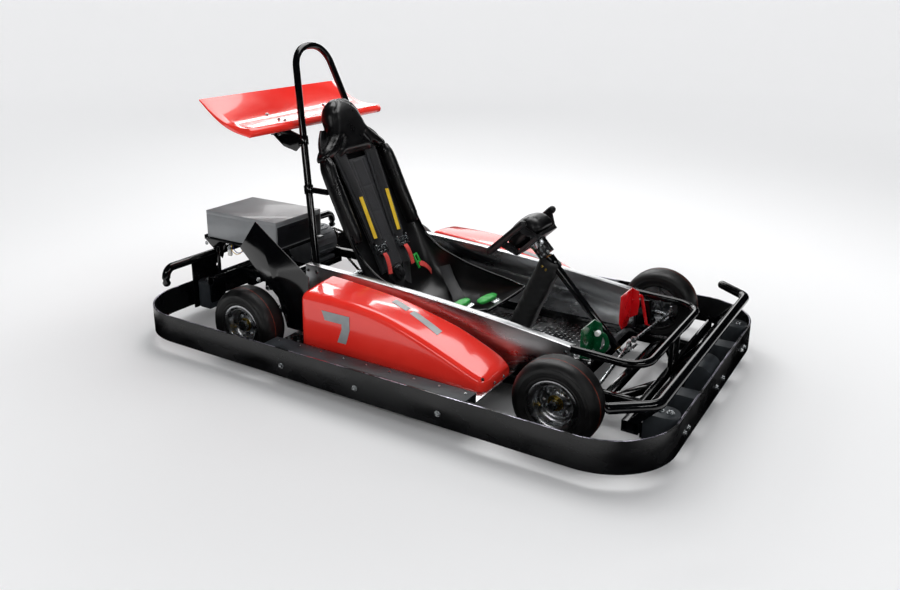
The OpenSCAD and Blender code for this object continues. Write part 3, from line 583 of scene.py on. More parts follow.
def pedal_green():
    # dark green enamel on the throttle pedal
    return coated("dark_green_enamel", ("#063F23", "#0B5A33"), (0.16, 0.28), 30, 4, 0.06, **{"Coat Weight": 0.6})


def pedal_red():
    # bright red enamel on the brake pedal
    return coated("bright_red_enamel", ("#B90A10", "#D3121A"), (0.14, 0.26), 30, 4, 0.06, **{"Coat Weight": 0.7})


def box_enamel():
    # grey stoving enamel on folded sheet: satin with a faint dust haze
    return coated("grey_stoving_enamel", ("#7D7F81", "#8C8F91"), (0.3, 0.42), 140, 3, 0.06, **{"Coat Weight": 0.15})


def dark_panel():
    # dark charcoal sheet laid over the box's front face, darker than the rest of the box
    return coated("charcoal_front_sheet", ("#17181B", "#232529"), (0.3, 0.42), 90, 3, 0.06)


def moulded_black():
    # moulded black ABS of the grips and hub cover: satin, with a light grain
    return coated("moulded_black_abs", ("#0B0B0C", "#161618"), (0.26, 0.38), 50, 1.4, 0.08)


def motor_enamel():
    # grey enamelled die-cast motor casing
    return coated("grey_cast_motor", ("#4A4D50", "#616467"), (0.35, 0.5), 50, 2, 0.12, Metallic=0.4)


def oiled_steel():
    # oiled roller chain steel: dark brown-grey with wet lube
    return coated("oiled_chain_steel", ("#3B3834", "#6A665F"), (0.2, 0.4), 14, 1.5, 0.04, Metallic=1.0)


def gold_caliper():
    # gold anodised caliper body
    return coated("gold_anodised", ("#8F7430", "#B89A48"), (0.25, 0.36), 30, 2, 0.04, Metallic=1.0)


def case_plastic():
    # black polypropylene battery case
    return coated("black_polypropylene", ("#111214", "#1B1C1E"), (0.4, 0.55), 60, 1.4, 0.08)


def white_plastic():
    # milky nylon of the wire connector and the throttle bumper
    return coated("white_nylon", ("#DADBD8", "#F0F0EC"), (0.35, 0.45), 12, 1, 0.04, **{"Subsurface Weight": 0.1})


def red_dot():
    # small red lamp lens on the wheel plate
    return coated("red_lamp_lens", ("#C80D18", "#E01824"), (0.1, 0.16), 5, 1, 0.01)


def yellow_wire():
    # yellow PVC wire insulation
    return coated("yellow_wire_pvc", ("#D6A80F", "#E7BE2C"), (0.35, 0.45), 10, 1, 0.02)


def blue_wire():
    # dark blue PVC wire insulation
    return coated("blue_wire_pvc", ("#1A2250", "#28327A"), (0.35, 0.45), 10, 1, 0.02)


def studio_floor():
    # matt white paper sweep, lit evenly by its own lamps toward the horizon
    mat, tree, shader, place = start("white_paper_sweep", {"Roughness": 0.9, "Base Color": "#E6E6E6"})
    reach = add(tree, "ShaderNodeVectorMath", {"operation": "LENGTH"}, {0: place}).outputs["Value"]
    glow = [add(tree, "ShaderNodeMapRange", {"interpolation_type": "SMOOTHSTEP"},
                {"Value": reach, "From Min": near, "From Max": far, "To Min": 0.0,
                 "To Max": strength}).outputs["Result"]
            for near, far, strength in ((0.9, 2.3, 0.17), (2.3, 7.5, 0.2))]
    both = add(tree, "ShaderNodeMath", {"operation": "ADD"}, {0: glow[0], 1: glow[1]}).outputs["Value"]
    shader.inputs["Emission Color"].default_value = colour("#FBFBFC")
    tree.links.new(both, shader.inputs["Emission Strength"])
    return mat


MADE = {}


def finish_of(maker):
    """The material that a maker gives, made once."""
    if maker not in MADE:
        MADE[maker] = maker()
    return MADE[maker]


# ------------------------------------------------------------------ settings shown in the panel


class KartSettings(bpy.types.PropertyGroup):
    """Sizes and looks of the kart that a user may change."""

    azimuth: bpy.props.FloatProperty(
        name="Camera azimuth", description="Where the camera stands round the kart, 0 at its right side",
        default=33.0, unit="NONE")
    elevation: bpy.props.FloatProperty(
        name="Camera elevation", description="Camera height above the horizon, in degrees", default=16.96)
    lens: bpy.props.FloatProperty(
        name="Lens", description="Focal length on a 36 mm sensor", default=33.96, unit="CAMERA")
    number: bpy.props.IntProperty(
        name="Kart number", description="Digit on both side pods", default=7, min=0, max=9)
    tread_pitch: bpy.props.FloatProperty(
        name="Tread pitch", description="Distance between the raised bars of the tread plate",
        default=17 * MM, unit="LENGTH")
    tread_bar: bpy.props.FloatProperty(
        name="Tread bar", description="Length of one raised bar", default=15 * MM, unit="LENGTH")
    chain_pitch: bpy.props.FloatProperty(
        name="Chain pitch", description="Distance between the rollers of the drive chain",
        default=12.7 * MM, unit="LENGTH")
    bolt_head: bpy.props.FloatProperty(
        name="Bolt head", description="Diameter of the smallest bolt heads", default=10 * MM, unit="LENGTH")
    softness: bpy.props.FloatProperty(
        name="Padding pressure", description="Air pressure in the padded pieces while they settle", default=4.0)


class KartStep:
    """Shared by every operator: builds its pieces from the panel's settings."""

    bl_options = {"REGISTER", "UNDO"}

    def execute(self, context):
        self.build(context.scene.kart)
        return {"FINISHED"}


# ------------------------------------------------------------------ stage


class KART_OT_stage(KartStep, bpy.types.Operator):
    """White paper sweep, soft boxes and the camera"""

    bl_idname = "kart.stage"
    bl_label = "Stage, lights and camera"

    def build(self, kart):
        scene = bpy.context.scene
        scene.view_settings.view_transform = "Standard"
        self.sweep()
        self.light("overhead_softbox", (-0.3, 1.2, 3.4), (0, 0, 0.2), (3.4, 2.0), 84)
        self.light("near_side_strip", (0.6, -4.6, 3.0), (0, 0, 0.3), (3.6, 0.3), 30)
        self.light("front_strip", (4.8, -1.2, 2.8), (0.3, 0, 0.3), (2.6, 0.3), 24)
        self.light("rear_far_strip", (-3.0, 3.6, 3.2), (0, 0, 0.4), (3.4, 0.4), 40)
        # bounce cards, seen only in paint and metal: low ones around the kart, a tall one behind it
        side_card, end_card = (2.6, 1.1), (1.1, 3.4)
        side_gap, end_gap, off_floor = 1.35, 1.75, 0.004
        low_radiance, tall_radiance = 0.85, 1.9
        for name, x, y, size in (("near_card", 0, -side_gap, side_card), ("far_card", 0, side_gap, side_card),
                                 ("front_card", end_gap, 0, end_card), ("rear_card", -end_gap, 0, end_card)):
            self.card(name, (x, y, off_floor), (x, y, 1), size, low_radiance)
        self.card("tall_far_card", (-1.5, 3.0, 1.35), (0.1, 0, 0.5), (3.4, 1.5), tall_radiance)
        world = bpy.data.worlds.new("pale_studio")
        world.use_nodes = True
        world.node_tree.nodes["Background"].inputs["Color"].default_value = colour("#F4F6FA")
        world.node_tree.nodes["Background"].inputs["Strength"].default_value = 0.34
        world.cycles_visibility.glossy = False
        scene.world = world
        self.camera(kart)

    def card(self, name, at, toward, size, radiance):
        self.light(name, at, toward, size, radiance * math.pi * size[0] * size[1])
        bpy.data.objects[name].visible_diffuse = False

    def sweep(self):
        # floor that curves up far behind the kart, seen from every side
        flat, curve, wall = 9, 3, 9.0
        rise = [math.radians(a) for a in range(15, 91, 15)]
        radii = [0.0, 3.0, 7.0, float(flat)] + [flat + curve * math.sin(a) for a in rise] + [12.0]
        heights = [0.0, 0.0, 0.0, 0.0] + [curve - curve * math.cos(a) for a in rise] + [wall]
        sides = 72
        verts = [(r * math.cos(2 * math.pi * k / sides), r * math.sin(2 * math.pi * k / sides), h)
                 for r, h in zip(radii, heights) for k in range(sides)]
        faces = [(i * sides + k, i * sides + (k + 1) % sides, (i + 1) * sides + (k + 1) % sides, (i + 1) * sides + k)
                 for i in range(len(radii) - 1) for k in range(sides)]
        obj = mesh_object("paper_sweep", (verts, faces))
        obj.data.flip_normals()
        obj.data.materials.append(finish_of(studio_floor))
        obj.data.shade_smooth()
        # unseen by paint and metal, which mirror the cards instead
        obj.visible_glossy = False

    def light(self, name, at, target, size, power):
        lamp = bpy.data.lights.new(name, "AREA")
        lamp.shape, lamp.size, lamp.size_y, lamp.energy = "RECTANGLE", size[0], size[1], power
        obj = bpy.data.objects.new(name, lamp)
        bpy.context.scene.collection.objects.link(obj)
        obj.location = at
        obj.rotation_euler = (Vector(at) - Vector(target)).to_track_quat("Z", "Y").to_euler()

    def camera(self, kart):
        lens = bpy.data.cameras.new("camera")
        lens.lens, lens.sensor_width = kart.lens, 36.0
        lens.shift_x, lens.shift_y = 0.0374, -0.0541
        obj = bpy.data.objects.new("camera", lens)
        bpy.context.scene.collection.objects.link(obj)
        a, e = math.radians(kart.azimuth), math.radians(kart.elevation)
        back = Vector((math.sin(a) * math.cos(e), -math.cos(a) * math.cos(e), math.sin(e)))
        obj.location = (1.5623, -2.6006, 1.3016)
        obj.rotation_mode = "QUATERNION"
        obj.rotation_quaternion = (-back).to_track_quat("-Z", "Y")
        bpy.context.scene.camera = obj


# ------------------------------------------------------------------ steelwork


DRESSED = {
    "frame_rails": (gloss_black_paint, "frame_paint"),
    "cross_members": (gloss_black_paint, "frame_paint"),
    "rear_rails": (gloss_black_paint, "frame_paint"),
    "front_rails": (gloss_black_paint, "frame_paint"),
    "front_beam": (gloss_black_paint, "frame_paint"),
    "band_brackets": (gloss_black_paint, "frame_paint"),
    "hoop_brackets": (gloss_black_paint, "frame_paint"),
    "wing_bracket": (gloss_black_paint, "frame_paint"),
    "column_tube": (gloss_black_paint, "frame_paint"),
    "column_post": (gloss_black_paint, "frame_paint"),
    "box_tray": (gloss_black_paint, "frame_paint"),
    "wheel_guard": (gloss_black_paint, "frame_paint"),
    "axle_yokes": (gloss_black_paint, "frame_paint"),
    "pedal_brackets": (gloss_black_paint, "frame_paint"),
    "edge_strips": (block_rubber, "black_rubber"),
    "band_mounts": (block_rubber, "black_rubber"),
    "sill_right": (extruded_aluminium, "sill_aluminium"),
    "sill_left": (extruded_aluminium, "sill_aluminium"),
    "column_bushes": (bronze, "bronze"),
    "battery_pack": (case_plastic, "battery_case"),
    "drive_motor": (motor_enamel, "motor_casting"),
    "axle_bearings": (motor_enamel, "motor_casting"),
    "brake_caliper": (gold_caliper, "caliper_metal"),
    "steering_shaft": (bright_zinc, "zinc_steel"),
    "spindle_right": (bright_zinc, "zinc_steel"),
    "spindle_left": (bright_zinc, "zinc_steel"),
    "tie_rod_right": (bright_zinc, "zinc_steel"),
    "tie_rod_left": (bright_zinc, "zinc_steel"),
    "rear_axle": (bright_zinc, "zinc_steel"),
    "motor_sprocket": (oiled_steel, "chain_steel"),
}


class KART_OT_metalwork(KartStep, bpy.types.Operator):
    """Paints and plates the frame, the brackets, the axles and the running gear"""

    bl_idname = "kart.metalwork"
    bl_label = "Frame and running gear"

    def build(self, kart):
        for node, (finish, slot) in DRESSED.items():
            dressed(node, finish)


class KART_OT_band(KartStep, bpy.types.Operator):
    """Bumper band with its rubbed top edge"""

    bl_idname = "kart.band"
    bl_label = "Bumper band"

    def build(self, kart):
        dressed("bumper_band", band_paint, bevel=1.6 * MM, angle=25)


class KART_OT_tubes(KartStep, bpy.types.Operator):
    """Roll hoop, both bumper tubes and the pedal guard loop as smooth bent tube"""

    bl_idname = "kart.tubes"
    bl_label = "Bent tubes"

    def build(self, kart):
        low, high = box_mm("roll_hoop")
        radius = 13.5
        top = high.z - radius
        knee, spread = 310.0, high.y - radius

        def lean(z):
            return -396 - 0.29 * (z - knee)

        def half(z):
            return spread - 0.238 * max(0.0, z - knee)

        foot = [lean(100), -spread, 100]
        hoop = [foot, [lean(knee), -spread, knee], [lean(top), -half(top), top], [lean(top), half(top), top],
                [lean(knee), spread, knee], [foot[0], spread, foot[2]]]
        self.tube("roll_hoop", hoop, 98, radius)
        low, high = box_mm("front_bumper_tube")
        x, z = high.x - 16, (low.z + high.z) / 2
        self.tube("front_bumper_tube", [[x - 106, -592, z], [x, -505, z], [x, 505, z], [x - 106, 592, z]], 60, 16)
        low, high = box_mm("rear_bumper_tube")
        x, y, z = (low.x + high.x) / 2, high.y - 16, high.z - 16
        self.tube("rear_bumper_tube", [[x, -y, low.z], [x, -y, z], [x, y, z], [x, y, low.z]], 38, 16)
        low, high = box_mm("pedal_guard_loop")
        x, y = high.x - 12.5, high.y - 12.5
        self.tube("pedal_guard_loop", [[646, -y, 229], [x, -y, 220], [x, y, 220], [646, y, 229]], 80, 12.5)

    def tube(self, node, corners, bend, radius):
        path = rounded(corners, bend, 12)
        shell = scaled(round_ended(path, radius, 36))
        piece(f"{node}_finished", shell, gloss_black_paint, stands_for=[node], angle=50)


# ------------------------------------------------------------------ bodywork


POD_ROOF_IN = [(-275, 292), (-262, 311), (-245, 316), (-60, 300), (60, 284), (150, 265), (270, 235), (360, 200),
               (420, 172), (457, 146)]
POD_ROOF_OUT = [(-275, 272), (-262, 292), (-245, 298), (-50, 297), (60, 284), (180, 250), (300, 205), (400, 166),
                (440, 152), (457, 138)]
POD_NOSE, POD_TAIL = 457.0, -275.0


def curve_at(table, x):
    """Smooth curve through a table's points, evaluated at x."""
    for (x0, y0), (x1, y1) in zip(table, table[1:]):
        if x <= x1:
            break
    i = table.index((x1, y1))
    before = table[max(0, i - 2)]
    after = table[min(len(table) - 1, i + 1)]
    t = (x - x0) / (x1 - x0)
    m0 = (y1 - before[1]) / (x1 - before[0]) * (x1 - x0)
    m1 = (after[1] - y0) / (after[0] - x0) * (x1 - x0)
    return ((2 * t ** 3 - 3 * t * t + 1) * y0 + (t ** 3 - 2 * t * t + t) * m0
            + (3 * t * t - 2 * t ** 3) * y1 + (t ** 3 - t * t) * m1)


def pulled_in(x, reach):
    """How far a rounded plan corner draws the side in near the pod's two ends."""
    far = max(0.0, (x - (POD_NOSE - reach)) / reach, ((POD_TAIL + reach * 0.6) - x) / (reach * 0.6))
    return 1 - math.sqrt(max(0.0, 1 - min(1.0, far) ** 2))


class KART_OT_pods(KartStep, bpy.types.Operator):
    """Side pods with their number and plain bars; their nose rivets are set with the bolts"""

    bl_idname = "kart.pods"
    bl_label = "Side pods"

    # seven-stroke digit: a plain seven-segment pattern with slanted cuts
    STROKES = {0: "abcdef", 1: "bc", 2: "abged", 3: "abgcd", 4: "fgbc", 5: "afgcd", 6: "afgedc", 7: "abc",
               8: "abcdefg", 9: "abfgcd"}

    def build(self, kart):
        low, high = box_mm("side_pod_right")
        self.y_out, self.y_in, self.foot = low.y, high.y, low.z
        stations = [lerp(POD_TAIL, POD_NOSE, i / 90) for i in range(91)]
        shell = self.skin(stations)
        for side, mirror in (("right", 1), ("left", -1)):
            verts = [Vector((v[0], v[1] * mirror, v[2])) * MM for v in shell[0]]
            obj = mesh_object(f"side_pod_{side}_shell", (verts, shell[1]))
            self.face_out(obj)
            modifier(obj, "SOLIDIFY", thickness=3.5 * MM, offset=-1)
            modifier(obj, "BEVEL", width=0.8 * MM, segments=2, limit_method="ANGLE", angle_limit=math.radians(60))
            bake(obj)
            settle(obj, red_shell, CHASSIS, [f"side_pod_{side}"], 55)
            marks = [self.on_side(stroke, mirror) for stroke in self.digit(kart.number)]
            piece(f"number_{side}", together(*marks), vinyl_grey, angle=20)
            bars = [self.on_roof(x0, x1, mirror) for x0, x1 in ((36, 104), (122, 246))]
            piece(f"roof_bars_{side}", together(*bars), vinyl_grey, angle=20)

    def ring(self, x):
        inset = pulled_in(x, 36)
        roof_out, roof_in = curve_at(POD_ROOF_OUT, x), curve_at(POD_ROOF_IN, x)
        a = self.y_in - 8 * inset
        b = self.y_out + 34 * inset
        corner = min(26.0, (roof_out - self.foot) * 0.6)
        middle = (0, (a + b) / 2, lerp(roof_out, roof_in, 0.5) + 3)
        outside = rounded([(0, b, self.foot), (0, b + 1.5, roof_out), middle],
                          corner, 8)[:-1]
        inside = rounded([middle, (0, a, roof_in), (0, a, self.foot)], 12, 5)
        side = [outside[0].lerp(outside[1], k / 4) for k in range(4)]
        roof = [outside[-1].lerp(inside[0], k / 4) for k in range(4)]
        near = [inside[-2].lerp(inside[-1], k / 3) for k in range(4)]
        return [Vector((x, p.y, p.z)) for p in side + outside[1:-1] + roof + inside[:-2] + near]

    def skin(self, stations):
        rings = [self.ring(x) for x in stations]
        m = len(rings[0])
        verts = [p for ring in rings for p in ring]
        faces = [(i * m + k, i * m + k + 1, (i + 1) * m + k + 1, (i + 1) * m + k)
                 for i in range(len(rings) - 1) for k in range(m - 1)]
        # flat walls close both ends down to the board
        last = (len(rings) - 1) * m
        faces += [tuple(range(m)), tuple(last + k for k in range(m))[::-1]]
        return verts, faces

    def face_out(self, obj):
        up = max(obj.data.polygons, key=lambda f: f.center.z)
        if up.normal.z < 0:
            obj.data.flip_normals()

    def side_y(self, x):
        return self.y_out + 34 * pulled_in(x, 36)

    def digit(self, number):
        w, h, t = 118.0, 102.0, 33.0
        segments = {
            "a": [(0, h), (w, h), (w, h - t), (t * 0.4, h - t)],
            "b": [(w - t, h - t), (w, h - t), (w, h / 2), (w - t, h / 2)],
            "c": [(w - t, h / 2), (w, h / 2), (w - 0.5 * t, 0), (w - 1.6 * t, 0)],
            "d": [(0, t), (w - t, t), (w - t, 0), (0, 0)],
            "e": [(0, h / 2), (t, h / 2), (t, t), (0, t)],
            "f": [(0, h - t), (t, h - t), (t, h / 2), (0, h / 2)],
            "g": [(t, h / 2 + t / 2), (w - t, h / 2 + t / 2), (w - t, h / 2 - t / 2), (t, h / 2 - t / 2)],
        }
        return [segments[s] for s in self.STROKES[number]]

    def on_side(self, stroke, mirror):
        """Digit stroke on the pod's flat side, read the right way round on both sides."""
        x0, z0 = -174.0, 152.0
        return loft([[Vector((x0 + (x if mirror > 0 else 118 - x), (self.y_out - lift) * mirror, z0 + z)) * MM
                      for x, z in stroke] for lift in (0.1, 0.6)])

    def roof_z(self, x, y):
        """Height of the roof at a place, from the pod's own ring there."""
        ring = [p for p in self.ring(x) if p.z > self.foot + 20]
        for p, q in zip(ring, ring[1:]):
            if min(p.y, q.y) <= y <= max(p.y, q.y) and abs(p.y - q.y) > 1e-6:
                return lerp(p.z, q.z, (y - p.y) / (q.y - p.y))
        return max(p.z for p in ring)

    def on_roof(self, x0, x1, mirror):
        """Film strip on the roof in short lengths that follow the curve."""
        rings = []
        for k in range(13):
            x = lerp(x0, x1, k / 12)
            y = lerp(-388, -436, (x - 34) / 214)
            rings.append([Vector((x, (y + across) * mirror, self.roof_z(x, y + across) + lift)) * MM
                          for across, lift in ((-15, 1.5), (0, 1.5), (15, 1.5), (15, 0.3), (0, 0.3), (-15, 0.3))])
        return loft(rings)


class KART_OT_wing(KartStep, bpy.types.Operator):
    """Rear wing in one hollow moulding with a thick nose and rounded end caps"""

    bl_idname = "kart.wing"
    bl_label = "Rear wing"

    def section(self, shrink):
        n = 28
        top, under = [], []
        for i in range(n + 1):
            u = i / n
            z = 820 + 88 * u - 30 * math.sin(math.pi * u)
            thick = lerp(34, 7, u ** 0.7)
            top.append((-580 - 240 * u, z - shrink))
            under.append((-580 - 240 * u, z - thick + shrink))
        nose = [(-572 - shrink, 790 + shrink), (-568 - shrink, 797), (-567 - shrink, 805), (-571 - shrink, 814)]
        return [(x, z) for x, z in top] + under[::-1] + nose

    def build(self, kart):
        half = box_mm("wing")[1].y
        rings = [(-half, 3.2), (-half + 1.2, 1.2), (-half + 3.5, 0.0), (-half + 40, 0)]
        rings += [(y, 0) for y in np.linspace(-half + 80, half - 80, 9)] + [(-y, s) for y, s in rings[::-1]]
        shell = loft([[Vector((x, y, z)) * MM for x, z in self.section(s)] for y, s in rings])
        piece("rear_wing_moulding", shell, red_shell, stands_for=["wing"], angle=40)


class KART_OT_tread(KartStep, bpy.types.Operator):
    """Tread plate of the floor and the running boards, its raised bars laid out by geometry nodes"""

    bl_idname = "kart.tread"
    bl_label = "Tread plate"

    def build(self, kart):
        dressed("floor_pan", tread_aluminium, bevel=0.4 * MM)
        dressed("running_boards", tread_aluminium, bevel=0.4 * MM)
        low, high = box_mm("floor_pan")
        areas = [(low.x + 8, low.y + 8, high.x - 8, high.y - 8, high.z)]
        low, high = box_mm("running_boards")
        for sign in (-1, 1):
            outer, inner = sorted((sign * (high.y - 8), sign * 326))
            areas.append((low.x + 8, outer, high.x - 8, inner, high.z))
        for i, (x0, y0, x1, y1, z) in enumerate(areas):
            self.plate(f"tread_bars_{i}", kart, x0 * MM, y0 * MM, x1 * MM, y1 * MM, z * MM)

    def tree(self):
        tree = bpy.data.node_groups.new("tread_bars", "GeometryNodeTree")
        face = tree.interface
        face.new_socket("Pitch", in_out="INPUT", socket_type="NodeSocketFloat")
        face.new_socket("Bar length", in_out="INPUT", socket_type="NodeSocketFloat")
        face.new_socket("Size X", in_out="INPUT", socket_type="NodeSocketFloat")
        face.new_socket("Size Y", in_out="INPUT", socket_type="NodeSocketFloat")
        face.new_socket("Place", in_out="INPUT", socket_type="NodeSocketVector")
        face.new_socket("Finish", in_out="INPUT", socket_type="NodeSocketMaterial")
        face.new_socket("Geometry", in_out="OUTPUT", socket_type="NodeSocketGeometry")
        given = add(tree, "NodeGroupInput").outputs
        counts = [add(tree, "ShaderNodeMath", {"operation": "FLOOR"}, {0: add(
            tree, "ShaderNodeMath", {"operation": "DIVIDE"}, {0: given[side], 1: given["Pitch"]}).outputs[0]}).outputs[0]
            for side in ("Size X", "Size Y")]
        grid = add(tree, "GeometryNodeMeshGrid", feed={
            "Size X": given["Size X"], "Size Y": given["Size Y"], "Vertices X": counts[0], "Vertices Y": counts[1]})
        index = add(tree, "GeometryNodeInputIndex").outputs[0]
        row = add(tree, "ShaderNodeMath", {"operation": "FLOOR"}, {0: add(
            tree, "ShaderNodeMath", {"operation": "DIVIDE"}, {0: index, 1: counts[1]}).outputs[0]}).outputs[0]
        column = add(tree, "ShaderNodeMath", {"operation": "MODULO"}, {0: index, 1: counts[1]}).outputs[0]
        odd = add(tree, "ShaderNodeMath", {"operation": "MODULO"}, {0: add(
            tree, "ShaderNodeMath", {"operation": "ADD"}, {0: row, 1: column}).outputs[0], 1: 2.0}).outputs[0]
        turn = add(tree, "ShaderNodeMapRange", feed={
            "Value": odd, "From Max": 1.0, "To Min": math.radians(45), "To Max": math.radians(-45)}).outputs[0]
        turned = add(tree, "ShaderNodeCombineXYZ", feed={"Z": turn}).outputs[0]
        bar = add(tree, "GeometryNodeMeshIcoSphere", feed={"Radius": 1.0, "Subdivisions": 1})
        long_way = add(tree, "ShaderNodeMath", {"operation": "MULTIPLY"}, {0: given["Bar length"], 1: 0.5}).outputs[0]
        across = add(tree, "ShaderNodeMath", {"operation": "MULTIPLY"}, {0: given["Bar length"], 1: 0.15}).outputs[0]
        size = add(tree, "ShaderNodeCombineXYZ", feed={"X": long_way, "Y": across, "Z": 1.1 * MM}).outputs[0]
        bar = add(tree, "GeometryNodeTransform", feed={"Geometry": bar.outputs["Mesh"], "Scale": size})
        laid = add(tree, "GeometryNodeInstanceOnPoints", feed={
            "Points": grid.outputs["Mesh"], "Instance": bar.outputs[0], "Rotation": turned})
        put = add(tree, "GeometryNodeTransform", feed={"Geometry": laid.outputs[0], "Translation": given["Place"]})
        real = add(tree, "GeometryNodeRealizeInstances", feed={"Geometry": put.outputs[0]})
        done = add(tree, "GeometryNodeSetMaterial", feed={"Geometry": real.outputs[0], "Material": given["Finish"]})
        out = add(tree, "NodeGroupOutput")
        tree.links.new(done.outputs[0], out.inputs[0])
        return tree

    def plate(self, name, kart, x0, y0, x1, y1, z):
        tree = bpy.data.node_groups.get("tread_bars") or self.tree()
        grown(name, tree, {
            "Pitch": kart.tread_pitch, "Bar length": kart.tread_bar, "Size X": x1 - x0, "Size Y": y1 - y0,
            "Place": ((x0 + x1) / 2, (y0 + y1) / 2, z), "Finish": finish_of(tread_aluminium)}, CHASSIS)


def grown(name, tree, values, body, points=None, attributes=None, angle=0):
    """Runs a geometry node tree with these inputs and keeps its result as a plain mesh on a body."""
    mesh = bpy.data.meshes.new(name)
    if points:
        mesh.from_pydata([tuple(p) for p in points], [], [])
        for key, rows in (attributes or {}).items():
            kind = "FLOAT_VECTOR" if hasattr(rows[0], "__len__") else "FLOAT"
            layer = mesh.attributes.new(key, kind, "POINT")
            if kind == "FLOAT":
                layer.data.foreach_set("value", rows)
            else:
                layer.data.foreach_set("vector", [c for row in rows for c in row])
    obj = bpy.data.objects.new(name, mesh)
    bpy.context.scene.collection.objects.link(obj)
    mod = obj.modifiers.new("grown", "NODES")
    mod.node_group = tree
    keys = {item.name: item.identifier for item in tree.interface.items_tree if item.in_out == "INPUT"}
    for key, value in values.items():
        mod[keys[key]] = value
    obj.update_tag()
    bpy.context.view_layer.update()
    bake(obj)
    return settle(obj, None, body, (), angle)


# ------------------------------------------------------------------ wheels


WHEELS = {
    "front_right": ("front_tyre_right", "front_rim_right", "front_wheel_right", -1),
    "front_left": ("front_tyre_left", "front_rim_left", "front_wheel_left", 1),
}


def wheel_places():
    """Each wheel's name, its place matrix (axis outward on +Z, millimetres), body and CAD nodes."""
    rows = []
    for name, (tyre, rim, body, side) in WHEELS.items():
        low, high = box_mm(tyre)
        centre = (low + high) / 2
        rows.append((name, turned_to((0, side, 0), centre), body, tyre, rim, 1))
    low, high = box_mm("rear_tyres")
    for name, side in (("rear_right", -1), ("rear_left", 1)):
        y = high.y - 53 if side > 0 else low.y + 53
        centre = Vector(((low.x + high.x) / 2, y, (low.z + high.z) / 2))
        rows.append((name, turned_to((0, side, 0), centre), "rear_axle", "rear_tyres", "rear_rims", 0))
    return rows


class KART_OT_tyres(KartStep, bpy.types.Operator):
    """Slick tyres: moulded rings on the sidewalls, a crowned tread and its thin gauge line"""

    bl_idname = "kart.tyres"
    bl_label = "Tyres"

    def profile(self):
        r = 137.5
        outer = [(64.6, 31), (64.6, 39), (70, 39.6), (78, 40.6), (80.5, 43.5), (83, 45.8), (86, 46.2), (87, 47.8),
                 (89, 48), (91, 47.2), (95, 49), (100, 50.6), (105, 51.6), (106.5, 52.6), (108.5, 52.7), (110, 51.9),
                 (113, 52.2), (116, 51.7), (118, 52.2), (120, 51.2), (123, 49.6), (126.5, 46.5), (130, 42.2),
                 (133, 37), (135.2, 31), (136.5, 24), (137.2, 15), (r, 6)]
        tread = [(r, -6), (137.2, -15), (136.5, -24), (135.2, -31), (133, -37)]
        outside = outer + tread + [(x, -y) for x, y in outer[:-5][::-1]]
        inside = [(82, -31), (98, -43), (116, -43), (128, -34), (129, 0), (128, 34), (116, 43), (98, 43), (82, 31)]
        return outside + inside

    def build(self, kart):
        for name, place, body, tyre, _, _ in wheel_places():
            shell = scaled(lathe(self.profile(), 112, place))
            piece(f"tyre_{name}", shell, tyre_compound, body, [tyre], 38)
            line = [(137.15, 13.4), (137.45, 13.3), (137.5, 12.2), (137.2, 12.1)]
            piece(f"tread_line_{name}", scaled(lathe(line, 112, place)), tyre_stripe, body, angle=0)


